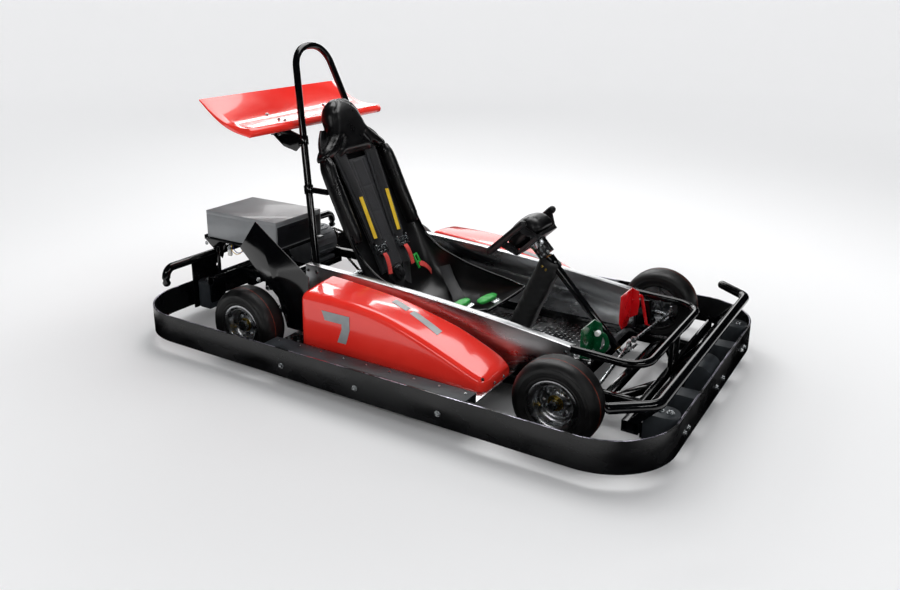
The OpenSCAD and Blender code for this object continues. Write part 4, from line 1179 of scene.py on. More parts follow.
class KART_OT_rims(KartStep, bpy.types.Operator):
    """Cast rims: dished centre with five holes, wheel bolts, the big axle nut and the valve"""

    bl_idname = "kart.rims"
    bl_label = "Rims and nuts"

    def shape(self, front):
        bore = 10.05 if front else 15.2
        hub = [(bore, -58), (20, -58), (21, -54), (21.5, -6)] if front else [(bore, -12), (28, -12), (28, -6)]
        return hub + [(33, -3), (46, -2), (51, -15), (58, -19), (60.5, -44), (79.6, -45), (79.9, -43), (79.6, -41.2),
                      (64, -40), (63.6, -22), (60, -12), (56, 2), (57, 14), (63.4, 20), (64, 40), (78.6, 41),
                      (79.9, 42.6), (79.6, 44.6), (77.6, 45), (72, 43.4), (66, 41.5), (62.8, 38), (61.6, 24),
                      (58.6, 19), (55.2, 17.4), (53.4, 15.6), (51.4, 17), (49.6, 15.5), (47.6, 10.6), (44, 8.2),
                      (33, 7.2), (29.4, 9.6), (27.4, 15), (25, 17), (bore + 1.2, 17.4), (bore, 16.6)]

    def build(self, kart):
        for name, place, body, tyre, rim, front in wheel_places():
            obj = mesh_object(f"rim_{name}", scaled(lathe(self.shape(front), 96, place)))
            drill = together(*[scaled(lathe([(0.01, -20), (5.6, -20), (5.6, 30), (0.01, 30)], 20,
                                            place @ Matrix.Rotation(math.radians(72 * k + 36), 4, "Z")
                                            @ Matrix.Translation((40, 0, 0)))) for k in range(5)])
            cutter = mesh_object("drill", drill)
            modifier(obj, "BOOLEAN", operation="DIFFERENCE", object=cutter, solver="EXACT")
            bpy.context.view_layer.update()
            bake(obj)
            bpy.data.objects.remove(cutter)
            settle(obj, cast_aluminium, body, [rim], 32)
            self.fastenings(name, place, body, front)

    def fastenings(self, name, place, body, front):
        dome = [(0.01, 0), (7.2, 0), (7.4, 1.4), (6.8, 2), (4.8, 2.2), (4.7, 5.4), (4.2, 6.2), (0.01, 6.4)]
        bolts = [lathe(dome, 20, place @ Matrix.Rotation(math.radians(72 * k), 4, "Z")
                       @ Matrix.Translation((36, 0, 7.6))) for k in range(5)]
        piece(f"wheel_bolts_{name}", scaled(together(*bolts)), bright_zinc, body)
        inner = 10.1 if front else 15.1
        ring = [(inner, 17.4), (24.4, 17.4), (24.6, 19), (24, 20.4), (21.8, 20.8), (21.4, 18.6), (inner, 18.6)]
        piece(f"nut_ring_{name}", scaled(lathe(ring, 48, place)), brass, body)
        if front:
            hexagon = [(14.6 * math.cos(math.radians(60 * k)), 14.6 * math.sin(math.radians(60 * k))) for k in range(6)]
            nut = prism(hexagon, 8.5, place @ Matrix.Translation((0, 0, 20.8)))
            cap = lathe([(0.01, 29.3), (11.5, 29.3), (11, 31), (10.2, 31.2), (10.2, 37.5), (9.4, 38.6), (0.01, 38.8)],
                        28, place)
            piece(f"axle_nut_{name}", scaled(together(nut, cap)), bright_zinc, body, bevel=0.7 * MM)
        stem = [(0.01, 0), (2.6, 0), (2.6, 9), (3.4, 10), (3.4, 15), (2.8, 16.4), (0.01, 16.6)]
        tilt = (place @ Matrix.Rotation(math.radians(200), 4, "Z") @ Matrix.Translation((54.6, 0, 15))
                @ Matrix.Rotation(math.radians(-28), 4, "Y"))
        piece(f"valve_{name}", scaled(lathe(stem, 18, tilt)), brass, body)


# ------------------------------------------------------------------ seat


# shell from the front lip to the top: bottom line x, z; rim line x, z; half width
SEAT_LINE = [
    (269, 219, 262, 226, 150), (225, 184, 222, 221, 173), (160, 143, 165, 223, 195), (80, 112, 98, 228, 208),
    (0, 99, 36, 236, 216), (-70, 98, -20, 246, 220), (-130, 106, -70, 260, 222), (-178, 138, -118, 276, 222),
    (-212, 190, -158, 294, 221), (-240, 250, -196, 321, 220), (-270, 318, -232, 356, 219),
    (-318, 417, -279, 437, 218), (-368, 523, -328, 544, 217), (-420, 630, -383, 649, 208),
    (-464, 724, -434, 738, 180), (-490, 778, -474, 786, 126)]


def seat_row(s):
    """The shell's line at a station that may lie between two rows."""
    i = min(len(SEAT_LINE) - 2, int(s))
    t = s - i
    rows = [SEAT_LINE[max(0, i - 1)], SEAT_LINE[i], SEAT_LINE[i + 1], SEAT_LINE[min(len(SEAT_LINE) - 1, i + 2)]]
    return [b + t * ((c - a) / 2 + t * (a - 2.5 * b + 2 * c - 0.5 * d + t * (1.5 * (b - c) + (d - a) / 2)))
            for a, b, c, d in zip(*rows)]


def seat_point(s, angle, lift=0.0):
    """Point of the shell, in millimetres: station, angle across from -90 to 90, distance inside the outer face."""
    x, z, rim_x, rim_z, half = seat_row(s)
    across, deep = Vector((x, z)), Vector((rim_x, rim_z))
    height = (deep - across).length
    rise = lift + (height - lift) * (1 - math.sqrt(max(0.0, math.cos(math.radians(angle)))))
    at = across + (deep - across) * rise / height
    return Vector((at.x, (half - lift) * math.sin(math.radians(angle)), at.y))


BACK_FOOT = Vector((-262, 0, 300))
BACK_TILT = math.radians(25.5)
BACK = (Matrix.Translation(BACK_FOOT) @ Matrix.Rotation(-BACK_TILT, 4, "Y"))


def on_back(lift, y, up):
    """Point over the seat back: distance toward the driver, across, and up the back."""
    return BACK @ Vector((lift, y, up))


def cushioned(name, shell, cap_mm, kart, voxel=5.0):
    """Foam or stuffing under a tight cover: the shell is filled with air in a cloth run, and smoothed."""
    obj = mesh_object(name, shell)
    modifier(obj, "REMESH", mode="VOXEL", voxel_size=voxel * MM)
    bake(obj)
    rest = np.array([v.co for v in obj.data.vertices])
    cloth = modifier(obj, "CLOTH")
    cloth.settings.use_pressure = True
    cloth.settings.uniform_pressure_force = kart.softness
    cloth.settings.effector_weights.gravity = 0.0
    cloth.settings.quality = 4
    scene = bpy.context.scene
    scene.frame_start, scene.frame_end = 1, 20
    for step in range(1, 21):
        scene.frame_set(step)
    bake(obj)
    scene.frame_set(1)
    now = np.array([v.co for v in obj.data.vertices])
    move = now - rest
    far = np.linalg.norm(move, axis=1, keepdims=True)
    cap = cap_mm * MM
    move *= np.where(far > 1e-9, cap * np.tanh(far / cap) / np.maximum(far, 1e-9), 0)
    obj.data.vertices.foreach_set("co", (rest + move).ravel())
    modifier(obj, "SMOOTH", factor=0.5, iterations=6)
    modifier(obj, "SUBSURF", levels=1, render_levels=1)
    return bake(obj)


def pushed(obj, rise):
    """Moves every vertex along its normal by rise(place), both in millimetres."""
    places = [v.co.copy() for v in obj.data.vertices]
    normals = [v.normal.copy() for v in obj.data.vertices]
    moved = [p + n * (rise(p / MM) * MM) for p, n in zip(places, normals)]
    obj.data.vertices.foreach_set("co", [c for p in moved for c in p])
    obj.data.update()


def creased(obj, lines, depth_mm, width_mm):
    """Presses sewn seams into a padded piece: each line is a list of points in millimetres."""
    dents = [[Vector(p) * MM for p in line] for line in lines]
    co = np.array([v.co for v in obj.data.vertices])
    normals = np.array([v.normal for v in obj.data.vertices])
    push = np.zeros(len(co))
    for line in dents:
        near = np.full(len(co), 1e9)
        for a, b in zip(line, line[1:]):
            span = np.array(b - a)
            t = np.clip(((co - np.array(a)) @ span) / max(span @ span, 1e-12), 0, 1)
            near = np.minimum(near, np.linalg.norm(co - (np.array(a) + t[:, None] * span), axis=1))
        push = np.maximum(push, np.exp(-(near / (width_mm * MM)) ** 2))
    obj.data.vertices.foreach_set("co", (co - normals * push[:, None] * depth_mm * MM).ravel())
    obj.data.update()


class KART_OT_seat(KartStep, bpy.types.Operator):
    """Moulded bucket shell with its beaded rim"""

    bl_idname = "kart.seat"
    bl_label = "Seat shell"

    def build(self, kart):
        stations = np.linspace(0, len(SEAT_LINE) - 1, 106)
        angles = np.linspace(-90, 90, 49)
        rings = [[seat_point(s, a) * MM for a in angles] + [seat_point(s, a, 5) * MM for a in angles[::-1]]
                 for s in stations]
        piece("seat_shell_moulding", loft(rings), seat_glass_fibre,
              stands_for=["seat_shell"], angle=50)
        bare = [s for s in stations if s < 10.9]
        rim = [seat_point(s, -90, 2.5) for s in bare[::-1]]
        lip = [seat_point(0, a, 2.5) for a in angles[1:-1]]
        rim += lip + [seat_point(s, 90, 2.5) for s in bare]
        bead = round_ended(rim, 5.2, 12, up=Vector((0.3, 0, 1)))
        piece("seat_rim_bead", scaled(bead), gloss_black_paint, angle=60)


class KART_OT_cushions(KartStep, bpy.types.Operator):
    """Back pad, headrest hood and the two long side bolsters"""

    bl_idname = "kart.cushions"
    bl_label = "Seat padding"

    def build(self, kart):
        self.back_pad(kart)
        self.headrest(kart)
        self.bolsters(kart)

    def back_pad(self, kart):
        rings = []
        for up in np.linspace(-66, 404, 16):
            half = 110 - 8 * abs(up - 170) / 235
            rings.append([on_back(17 + y, x, up) * MM for x, y in rounded_rect(2 * half, 15, 7)])
        obj = cushioned("seat_back_pad", loft(rings), 7, kart)
        channels = [[on_back(26, y, up) for up in range(-66, 405, 30)] for y in (-32, 32)]
        channels += [[on_back(26, y, up) for y in range(-104, 105, 16)] for up in (70, 175, 280)]
        creased(obj, channels, 3.2, 5)
        settle(obj, harness_pad_cloth, CHASSIS, ["seat_pad"], 60)

    def headrest(self, kart):
        # hood over the top of the shell, wide at the shoulders and narrow at the crown
        rows = [(408, 204, -3, 44), (424, 202, -4, 54), (446, 184, -5, 58), (470, 154, -5, 61), (500, 120, -5, 65),
                (538, 103, -5, 68), (578, 94, -5, 68), (608, 76, 0, 66), (628, 50, 8, 58), (638, 24, 20, 46)]
        rings = [[on_back((back + front) / 2 + y, x, up) * MM
                  for x, y in rounded_rect(2 * half, front - back, min(front - back, half) * 0.4)]
                 for up, half, back, front in rows]
        obj = cushioned("headrest_hood", loft(rings), 7, kart)
        seams = [[on_back(front - 2, side * (half - 16) * min(1, (652 - up) / 90), up)
                  for up, half, back, front in rows]
                 for side in (-1, 1)]
        slots = [[on_back(58 - 12 * t, side * (70 + 62 * t), 476 - 74 * t) for t in (0, 0.25, 0.5, 0.75, 1)]
                 for side in (-1, 1)]
        dip = [[on_back(56, y, 404) for y in (-60, -20, 20, 60)]]
        creased(obj, seams, 4, 6)
        creased(obj, slots, 22, 11)
        creased(obj, dip, 10, 22)
        settle(obj, upholstery_vinyl, CHASSIS, ["headrest"], 60)

    def bolsters(self, kart):
        for name, side in (("right", -1), ("left", 1)):
            rings = []
            for up in np.linspace(82, 420, 20):
                t = (up - 82) / 338
                full = 1 - 0.16 * (1 - smooth(t * 9)) - 0.3 * smooth((t - 0.9) / 0.1)
                y = side * (191 - 6 * smooth((t - 0.75) / 0.25))
                rings.append([on_back(35 + b * full, y + a * full, up) * MM for a, b in circle(26, 20, 1.25)])
            obj = cushioned(f"seat_bolster_{name}", loft(rings), 5, kart)
            self.gather(obj, side)
            settle(obj, upholstery_vinyl, CHASSIS, ["seat_bolsters"], 60)

    def gather(self, obj, side):
        """Draws the cover into small radial folds at its lower cuff and its top."""
        inverse = BACK.inverted()

        def fold(place):
            p = inverse @ place
            near = max(smooth(1 - abs(p.z - end) / reach) for end, reach in ((82, 26), (420, 30)))
            around = math.atan2(p.y - side * 191, p.x - 35)
            return -2.4 * near * (0.5 + 0.5 * math.cos(14 * around))

        pushed(obj, fold)


LAP = {"right": (53, 33, 148), "left": (126, 108, 161)}
LAP_TURN = {"right": 70, "left": 64}


class KART_OT_harness(KartStep, bpy.types.Operator):
    """Shoulder pads, belts, adjusters, buckle and the tongues that lie on the seat"""

    bl_idname = "kart.harness"
    bl_label = "Harness"

    def build(self, kart):
        for name, side in (("right", -1), ("left", 1)):
            self.shoulder_pad(name, side)
            self.shoulder_belt(name, side)
            self.adjuster(name, side)
            self.lap_belt(name, side)
            self.tongue(name)
        self.buckle()

    def ribbon(self, name, path, width, thick, finish, up, slot="webbing", stands=(), scale=None):
        section = rounded_rect(width, thick, thick * 0.45, 2)
        return piece(name, scaled(swept(through(path, 6), section, up=Vector(up), scale=scale)), finish,
                     stands_for=stands, angle=50)

    def shoulder_pad(self, name, side):
        face = BACK.to_3x3() @ Vector((1, 0, 0))
        line = ((22, 104, 452), (32, 97, 420), (33.5, 92, 370), (33, 85, 290), (32.5, 78, 200), (32, 73, 120),
                (31, 70, 64))
        obj = self.ribbon(f"shoulder_pad_{name}", [on_back(a, side * y, up) for a, y, up in line], 68, 12,
                          harness_pad_cloth, face, stands=["harness_straps"])
        edges = [[on_back(a + 3, side * y + s * 33.5, up) for a, y, up in line] for s in (-1, 1)]
        piece(f"pad_binding_{name}", scaled(together(*[round_ended(through(e, 6), 2.6, 10) for e in edges])),
              strap_webbing, angle=60)
        low, high = (84, 78) if side < 0 else (72, 94)
        label = [on_back(43.2, side * lerp(low, high, t), lerp(76, 244, t)) for t in (0, 0.33, 0.66, 1)]
        self.ribbon(f"blank_label_{name}", label, 21, 1.4, yellow_label, face)

    def shoulder_belt(self, name, side):
        face = BACK.to_3x3() @ Vector((1, 0, 0))
        over = ((26, 104, 456), (38, 97, 422), (41, 92, 370), (40.5, 85, 290), (40, 78, 200), (39.5, 73, 120),
                (37, 71, 62), (33, 71, 30))
        path = [on_back(a, side * y, up) for a, y, up in over]
        self.ribbon(f"belt_over_pad_{name}", path, 46, 2.4, strap_webbing, face)
        down = ((32, 71, 28), (30, 68, -10), (28, 56, -60), (30, 36, -100), (36, 14, -128))
        self.ribbon(f"belt_to_buckle_{name}", [on_back(a, side * y, up) for a, y, up in down], 42, 2.2, strap_webbing,
                    face)

    def adjuster(self, name, side):
        """Three-bar slide with its bent lever and the red pull tab below it."""
        at = BACK @ Matrix.Translation((38, side * 71, 26)) @ Matrix.Rotation(math.radians(-8), 4, "Y")
        bars = [slab((-1.6, -30, z), (4.6, 30, z + 4.4), at) for z in (-12, 2, 15)]
        cheeks = [slab((-2.4, y - 1.8, -15), (9.6, y + 1.8, 22), at) for y in (-30, 30)]
        lever = [slab((5, -20, -17), (7, 20, -4), at), slab((6, -4, 3), (12, 4, 12), at)]
        ears = [lathe([(0.01, -2.5), (5.4, -2.5), (5.4, 2.5), (0.01, 2.5)], 14,
                      at @ Matrix.Translation((9, y, 21)) @ Matrix.Rotation(math.pi / 2, 4, "X")) for y in (-30, 30)]
        piece(f"belt_adjuster_{name}", scaled(together(*bars, *cheeks, *lever, *ears)), bright_zinc,
              stands_for=["harness_hardware"], bevel=0.7 * MM, angle=40)
        face = BACK.to_3x3() @ Vector((1, 0, 0))
        self.ribbon(f"red_tab_{name}",
                    [on_back(46, side * 71, 12), on_back(51, side * 72, -6), on_back(50, side * 75, -36),
                     on_back(44, side * 78, -70)], 24, 2.6, red_webbing, face)

    def buckle(self):
        at = BACK @ Matrix.Translation((33, -26, -74)) @ Matrix.Rotation(math.radians(14), 4, "X")
        turn = Matrix.Rotation(math.pi / 2, 4, "Y")
        piece("buckle_body", scaled(prism(rounded_rect(62, 54, 14, 5), 15, at @ turn)), moulded_black,
              bevel=2.5 * MM, angle=40)
        press = prism(rounded_rect(9, 36, 3, 4), 4, at @ Matrix.Translation((14, 0, 20)) @ turn)
        piece("buckle_plate", scaled(press), bright_zinc, bevel=0.8 * MM)
        latch = BACK @ Matrix.Translation((36, 118, -70)) @ Matrix.Rotation(math.radians(8), 4, "X")
        frame_bars = together(slab((0, -14, -28), (8, -8, 30), latch), slab((0, 8, -28), (8, 14, 30), latch),
                              slab((0, -14, 24), (8, 14, 32), latch), slab((1, -8, -6), (6, 8, 2), latch))
        piece("green_latch", scaled(frame_bars), green_plastic, bevel=1.6 * MM, angle=40)
        face = BACK.to_3x3() @ Vector((1, 0, 0.3))
        self.ribbon("red_side_tab", [on_back(42, 120, -80), on_back(48, 138, -92), on_back(46, 160, -112),
                                     on_back(38, 180, -134)], 27, 2.6, red_webbing, face)

    def lap_belt(self, name, side):
        """Belt from the side slot of the shell over the pan to its tongue."""
        path = [(-118, side * 196, 226), (-76, side * 168, 182), (-20, side * 130, 146), (20, side * 92, 134),
                (LAP[name][0] - 34, LAP[name][1], LAP[name][2] - 6)]
        self.ribbon(f"lap_belt_{name}", path, 46, 2.2, strap_webbing, (0.2, side * -0.5, 1))

    def tongue(self, name):
        """Green-covered tongue with its bright blade, lying on the pan."""
        at = (Matrix.Translation(LAP[name]) @ Matrix.Rotation(math.radians(LAP_TURN[name]), 4, "Z")
              @ Matrix.Rotation(math.radians(-14), 4, "Y"))
        cover = loft([[at @ Vector((x, y * w, z * h)) for y, z in rounded_rect(44, 15, 6, 3)]
                      for x, w, h in ((-40, 0.5, 0.4), (-34, 0.8, 0.75), (-14, 1, 1), (16, 0.94, 1), (34, 0.66, 0.8),
                                      (42, 0.4, 0.4))])
        piece(f"tongue_cover_{name}", scaled(cover), green_plastic, angle=50)
        blade = prism(rounded_rect(34, 36, 6, 4), 3, at @ Matrix.Translation((18, -26, -7)))
        piece(f"tongue_blade_{name}", scaled(blade), bright_zinc, bevel=0.6 * MM)


# ------------------------------------------------------------------ steering wheel, column sleeve and pedals


COLUMN_FOOT = Vector((686, 0, 130))
COLUMN_TILT = math.radians(46.4)
COLUMN = Matrix.Translation(COLUMN_FOOT) @ Matrix.Rotation(COLUMN_TILT - math.pi / 2, 4, "Y")
PLATE_T = 463.0
GRIP_T = 517.0


class KART_OT_wheel(KartStep, bpy.types.Operator):
    """Butterfly wheel: plate and spokes, ribbed grips, crowned pad, bright hub and a red lamp"""

    bl_idname = "kart.wheel"
    bl_label = "Steering wheel"

    def build(self, kart):
        dressed("steering_wheel", moulded_black, bevel=1.4 * MM, angle=35)
        self.pad(kart)
        grips, caps = [], []
        for side in (-1, 1):
            line = [COLUMN @ Vector((u, side * 118, GRIP_T)) for u in np.linspace(-106, 60, 12)]
            grips.append(round_ended(line, 13.2, 28, up=Vector((0, 1, 0))))
            ribs = [lathe([(12.4, -1.6), (14.1, -0.9), (14.1, 0.9), (12.4, 1.6)], 28,
                          COLUMN @ Matrix.Translation((u, side * 118, GRIP_T)) @ Matrix.Rotation(math.pi / 2, 4, "Y"))
                    for u in (-100, -92, 46, 54)]
            caps += ribs
        piece("hand_grips", scaled(together(*grips)), moulded_black, "steering", angle=60)
        piece("grip_end_rings", scaled(together(*caps)), moulded_black, "steering", angle=40)
        sleeve = [(20.4, 396), (28.4, 396), (29.8, 398), (29.8, 404), (27.2, 406), (27.2, 412), (29.8, 414),
                  (29.8, 420), (27.2, 422), (27.2, 428), (30.2, 430), (30.2, 440), (33.5, 449.5), (20.4, 449.5)]
        piece("wheel_hub", scaled(lathe(sleeve, 40, COLUMN)), bright_zinc, "steering", angle=35)
        lamp = lathe([(0.01, 0), (3.6, 0), (3.4, 1.6), (2, 2.6), (0.01, 2.9)], 18,
                     COLUMN @ Matrix.Translation((-58, -70, PLATE_T - 0.5)))
        piece("wheel_lamp", scaled(lamp), red_dot, "steering", angle=60)
        pins = [round_ended([COLUMN @ Vector((u, -82, PLATE_T + 8)), COLUMN @ Vector((u, -82, PLATE_T + 30))], 2.6, 12)
                for u in (-56, 36)]
        piece("spoke_pins", scaled(together(*pins)), bright_zinc, "steering")

    def pad(self, kart):
        rows = [(467, 0.82), (472, 0.95), (486, 1.0), (504, 0.97), (522, 0.86), (536, 0.66), (544, 0.4)]
        rings = [[COLUMN @ Vector((u * k, v * k, t)) * MM for u, v in rounded_rect(150, 134, 34, 5)] for t, k in rows]
        obj = cushioned("steering_pad_cover", loft(rings), 5, kart, 4.5)
        low_seam = [COLUMN @ Vector((u, v, 476)) for u, v in rounded_rect(156, 140, 34, 5)]
        ridge = [COLUMN @ Vector((u, v, 548 - abs(v) * 0.2)) for u, v in ((-60, -50), (-20, -20), (20, 20), (60, 50))]
        creased(obj, [low_seam + low_seam[:1]], 3, 4)
        creased(obj, [ridge], 2.2, 7)
        settle(obj, upholstery_vinyl, "steering", ["steering_pad"], 60)


class KART_OT_sleeve(KartStep, bpy.types.Operator):
    """Loose padded cloth sleeve over the column post, with its flap and brass studs"""

    bl_idname = "kart.sleeve"
    bl_label = "Column sleeve"

    def build(self, kart):
        foot, head = Vector((291, 0, 63)), Vector((431.7, 0, 396.8))
        way = (head - foot).normalized()
        length = (head - foot).length
        rings = []
        for i in range(27):
            t = i / 26
            centre = foot + way * lerp(30, length + 2, t)
            bulge = 1 - 0.10 * smooth(1 - t * 8) - 0.07 * smooth((t - 0.8) / 0.2)
            rings.append((centre, bulge))
        across, over = Vector((0, 1, 0)), way.cross(Vector((0, 1, 0)))
        shell = loft([[(c + over * a * k + across * b * k) * MM for a, b in rounded_rect(76, 72, 24, 4)]
                      for c, k in rings])
        obj = cushioned("column_sleeve_cloth", shell, 4, kart, 5)
        self.wrinkle(obj, foot, way)
        edge = [foot + way * d - over * 34 + across * 26 for d in np.linspace(40, length - 20, 12)]
        creased(obj, [edge], 4, 3.5)
        settle(obj, sleeve_cloth, CHASSIS, ["column_sleeve"], 60)
        flap = [foot + way * d - over * (41 + 1.5 * math.sin(d / 17)) + across * (-8 + 3 * math.sin(d / 40))
                for d in np.linspace(44, length - 40, 14)]
        piece("sleeve_flap", scaled(swept(flap, rounded_rect(40, 3, 1.3, 2), up=over)), sleeve_cloth,
              angle=60)
        studs = [lathe([(0.01, 0), (5, 0), (5, 1), (3.4, 2.6), (0.01, 3)], 16,
                       turned_to((0, -1, 0), head - way * d + Vector((-14 + s, -36.5, 0)))) for d, s in
                 ((16, 2), (26, 20))]
        piece("sleeve_studs", scaled(together(*studs)), brass, angle=50)

    def wrinkle(self, obj, foot, way):
        """Slack cloth: shallow folds across the sleeve, deeper toward its ends."""
        def fold(p):
            d = (p - foot).dot(way)
            return 3.0 * (noise.noise(Vector((d / 26, p.y / 60, p.x / 70))) + 0.5 * noise.noise(p / 17))

        pushed(obj, fold)


class KART_OT_pedals(KartStep, bpy.types.Operator):
    """Brake and throttle pedals with folded pads, return spring and stop"""

    bl_idname = "kart.pedals"
    bl_label = "Pedals"

    def build(self, kart):
        dressed("brake_pedal", pedal_red, bevel=1.0 * MM)
        dressed("throttle_pedal", pedal_green, bevel=1.0 * MM)
        # folded side flange of each pad, with its outline drawn in the plane of the flange
        self.flange("brake_flange", "brake_pedal", pedal_red, "brake_red", 656, 200, 168, 282, 26)
        self.flange("throttle_flange", "throttle_pedal", pedal_green, "throttle_green", 640, -110, 150, 262, 26)
        hoop = through([(650, -112, 150), (676, -113, 156), (690, -114, 184), (680, -114, 214), (654, -114, 218)], 7)
        piece("throttle_hoop", scaled(swept(hoop, rounded_rect(16, 4, 1.6, 2), up=Vector((0, 1, 0)))), pedal_green,
              "throttle_pedal", angle=50)
        bumper = lathe([(0.01, -9), (8, -9), (9, -7.5), (9, 7.5), (8, 9), (0.01, 9)], 24,
                       turned_to((0, 1, 0), (664, -134, 226)))
        piece("throttle_bumper", scaled(bumper), white_plastic, "throttle_pedal", angle=40)

    def flange(self, name, body, finish, slot, x, y, z0, z1, reach):
        outline = [(0, z0), (reach, z0 + 18), (reach + 4, (z0 + z1) / 2), (reach, z1 - 10), (0, z1)]
        place = Matrix.Translation((x + 3, y, 0)) @ Matrix(((1, 0, 0, 0), (0, 0, -1, 0), (0, 1, 0, 0), (0, 0, 0, 1)))
        piece(name, scaled(prism(outline, 3.5, place)), finish, body, bevel=0.9 * MM, angle=35)


# ------------------------------------------------------------------ equipment box, chain, bolts and cables


class KART_OT_box(KartStep, bpy.types.Operator):
    """Grey folded-steel box with its lid seam, dark front panel, wires and connector"""

    bl_idname = "kart.box"
    bl_label = "Equipment box"

    def build(self, kart):
        dressed("battery_box", box_enamel, bevel=1.8 * MM)
        dressed("box_lid", box_enamel, bevel=2.4 * MM)
        low, high = box_mm("battery_box")
        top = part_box("box_lid")[1].z / MM
        panel = prism(rounded_rect(high.y - low.y - 14, top - low.z - 26, 3, 3), 1.4,
                      Matrix.Translation((high.x, (low.y + high.y) / 2, (low.z + top) / 2 - 7))
                      @ Matrix(((0, 0, 1, 0), (1, 0, 0, 0), (0, 1, 0, 0), (0, 0, 0, 1))))
        piece("box_front_panel", scaled(panel), dark_panel, bevel=0.6 * MM)
        # the handle slot is a thin black slab standing proud of the panel, not an opening: its black is painted shade
        # for the inside of the slot
        slot = slab((high.x + 1.2, -196, top - 38), (high.x + 1.9, -104, top - 32))
        piece("box_handle_slot", scaled(slot), moulded_black, bevel=0.2 * MM)
        welt = [slab((low.x - 0.6, y, low.z + 8), (low.x + 0.2, y + 2, top - 18)) for y in (low.y + 12, high.y - 14)]
        piece("box_welts", scaled(together(*welt)), box_enamel, bevel=0.25 * MM)
        self.wires(low)

    def wires(self, low):
        y = low.y - 5
        rows = {
            "yellow_lead": (yellow_wire, [(-830, y, 314), (-824, y - 6, 296), (-800, y - 8, 284), (-776, y - 5, 292),
                                          (-770, y - 1, 311)], 1.5),
            "blue_lead": (blue_wire, [(-822, y, 314), (-812, y - 5, 300), (-790, y - 9, 291), (-768, y - 6, 298),
                                      (-760, y - 1, 312)], 1.5),
        }
        for name, (finish, points, radius) in rows.items():
            # both ends go up into the tray, so each stays with the chassis
            piece(name, scaled(swept(through(points, 6), circle(radius, 10), up=Vector((0, 1, 0)))), finish, angle=60)
        plug = loft([[Vector((-838 + a, y - 3 + b, z)) for a, b in rounded_rect(17 * k, 13 * k, 3 * k, 3)]
                     for z, k in ((270, 0.8), (273, 1), (292, 1), (294, 0.86), (306, 0.8), (309, 0.6))])
        piece("white_connector", scaled(plug), white_plastic, angle=35)
        stub = round_ended(through([(-838, y - 3, 308), (-838, y - 2, 316)], 4), 3.2, 12, up=Vector((0, 1, 0)))
        piece("connector_boot", scaled(stub), moulded_black, angle=60)


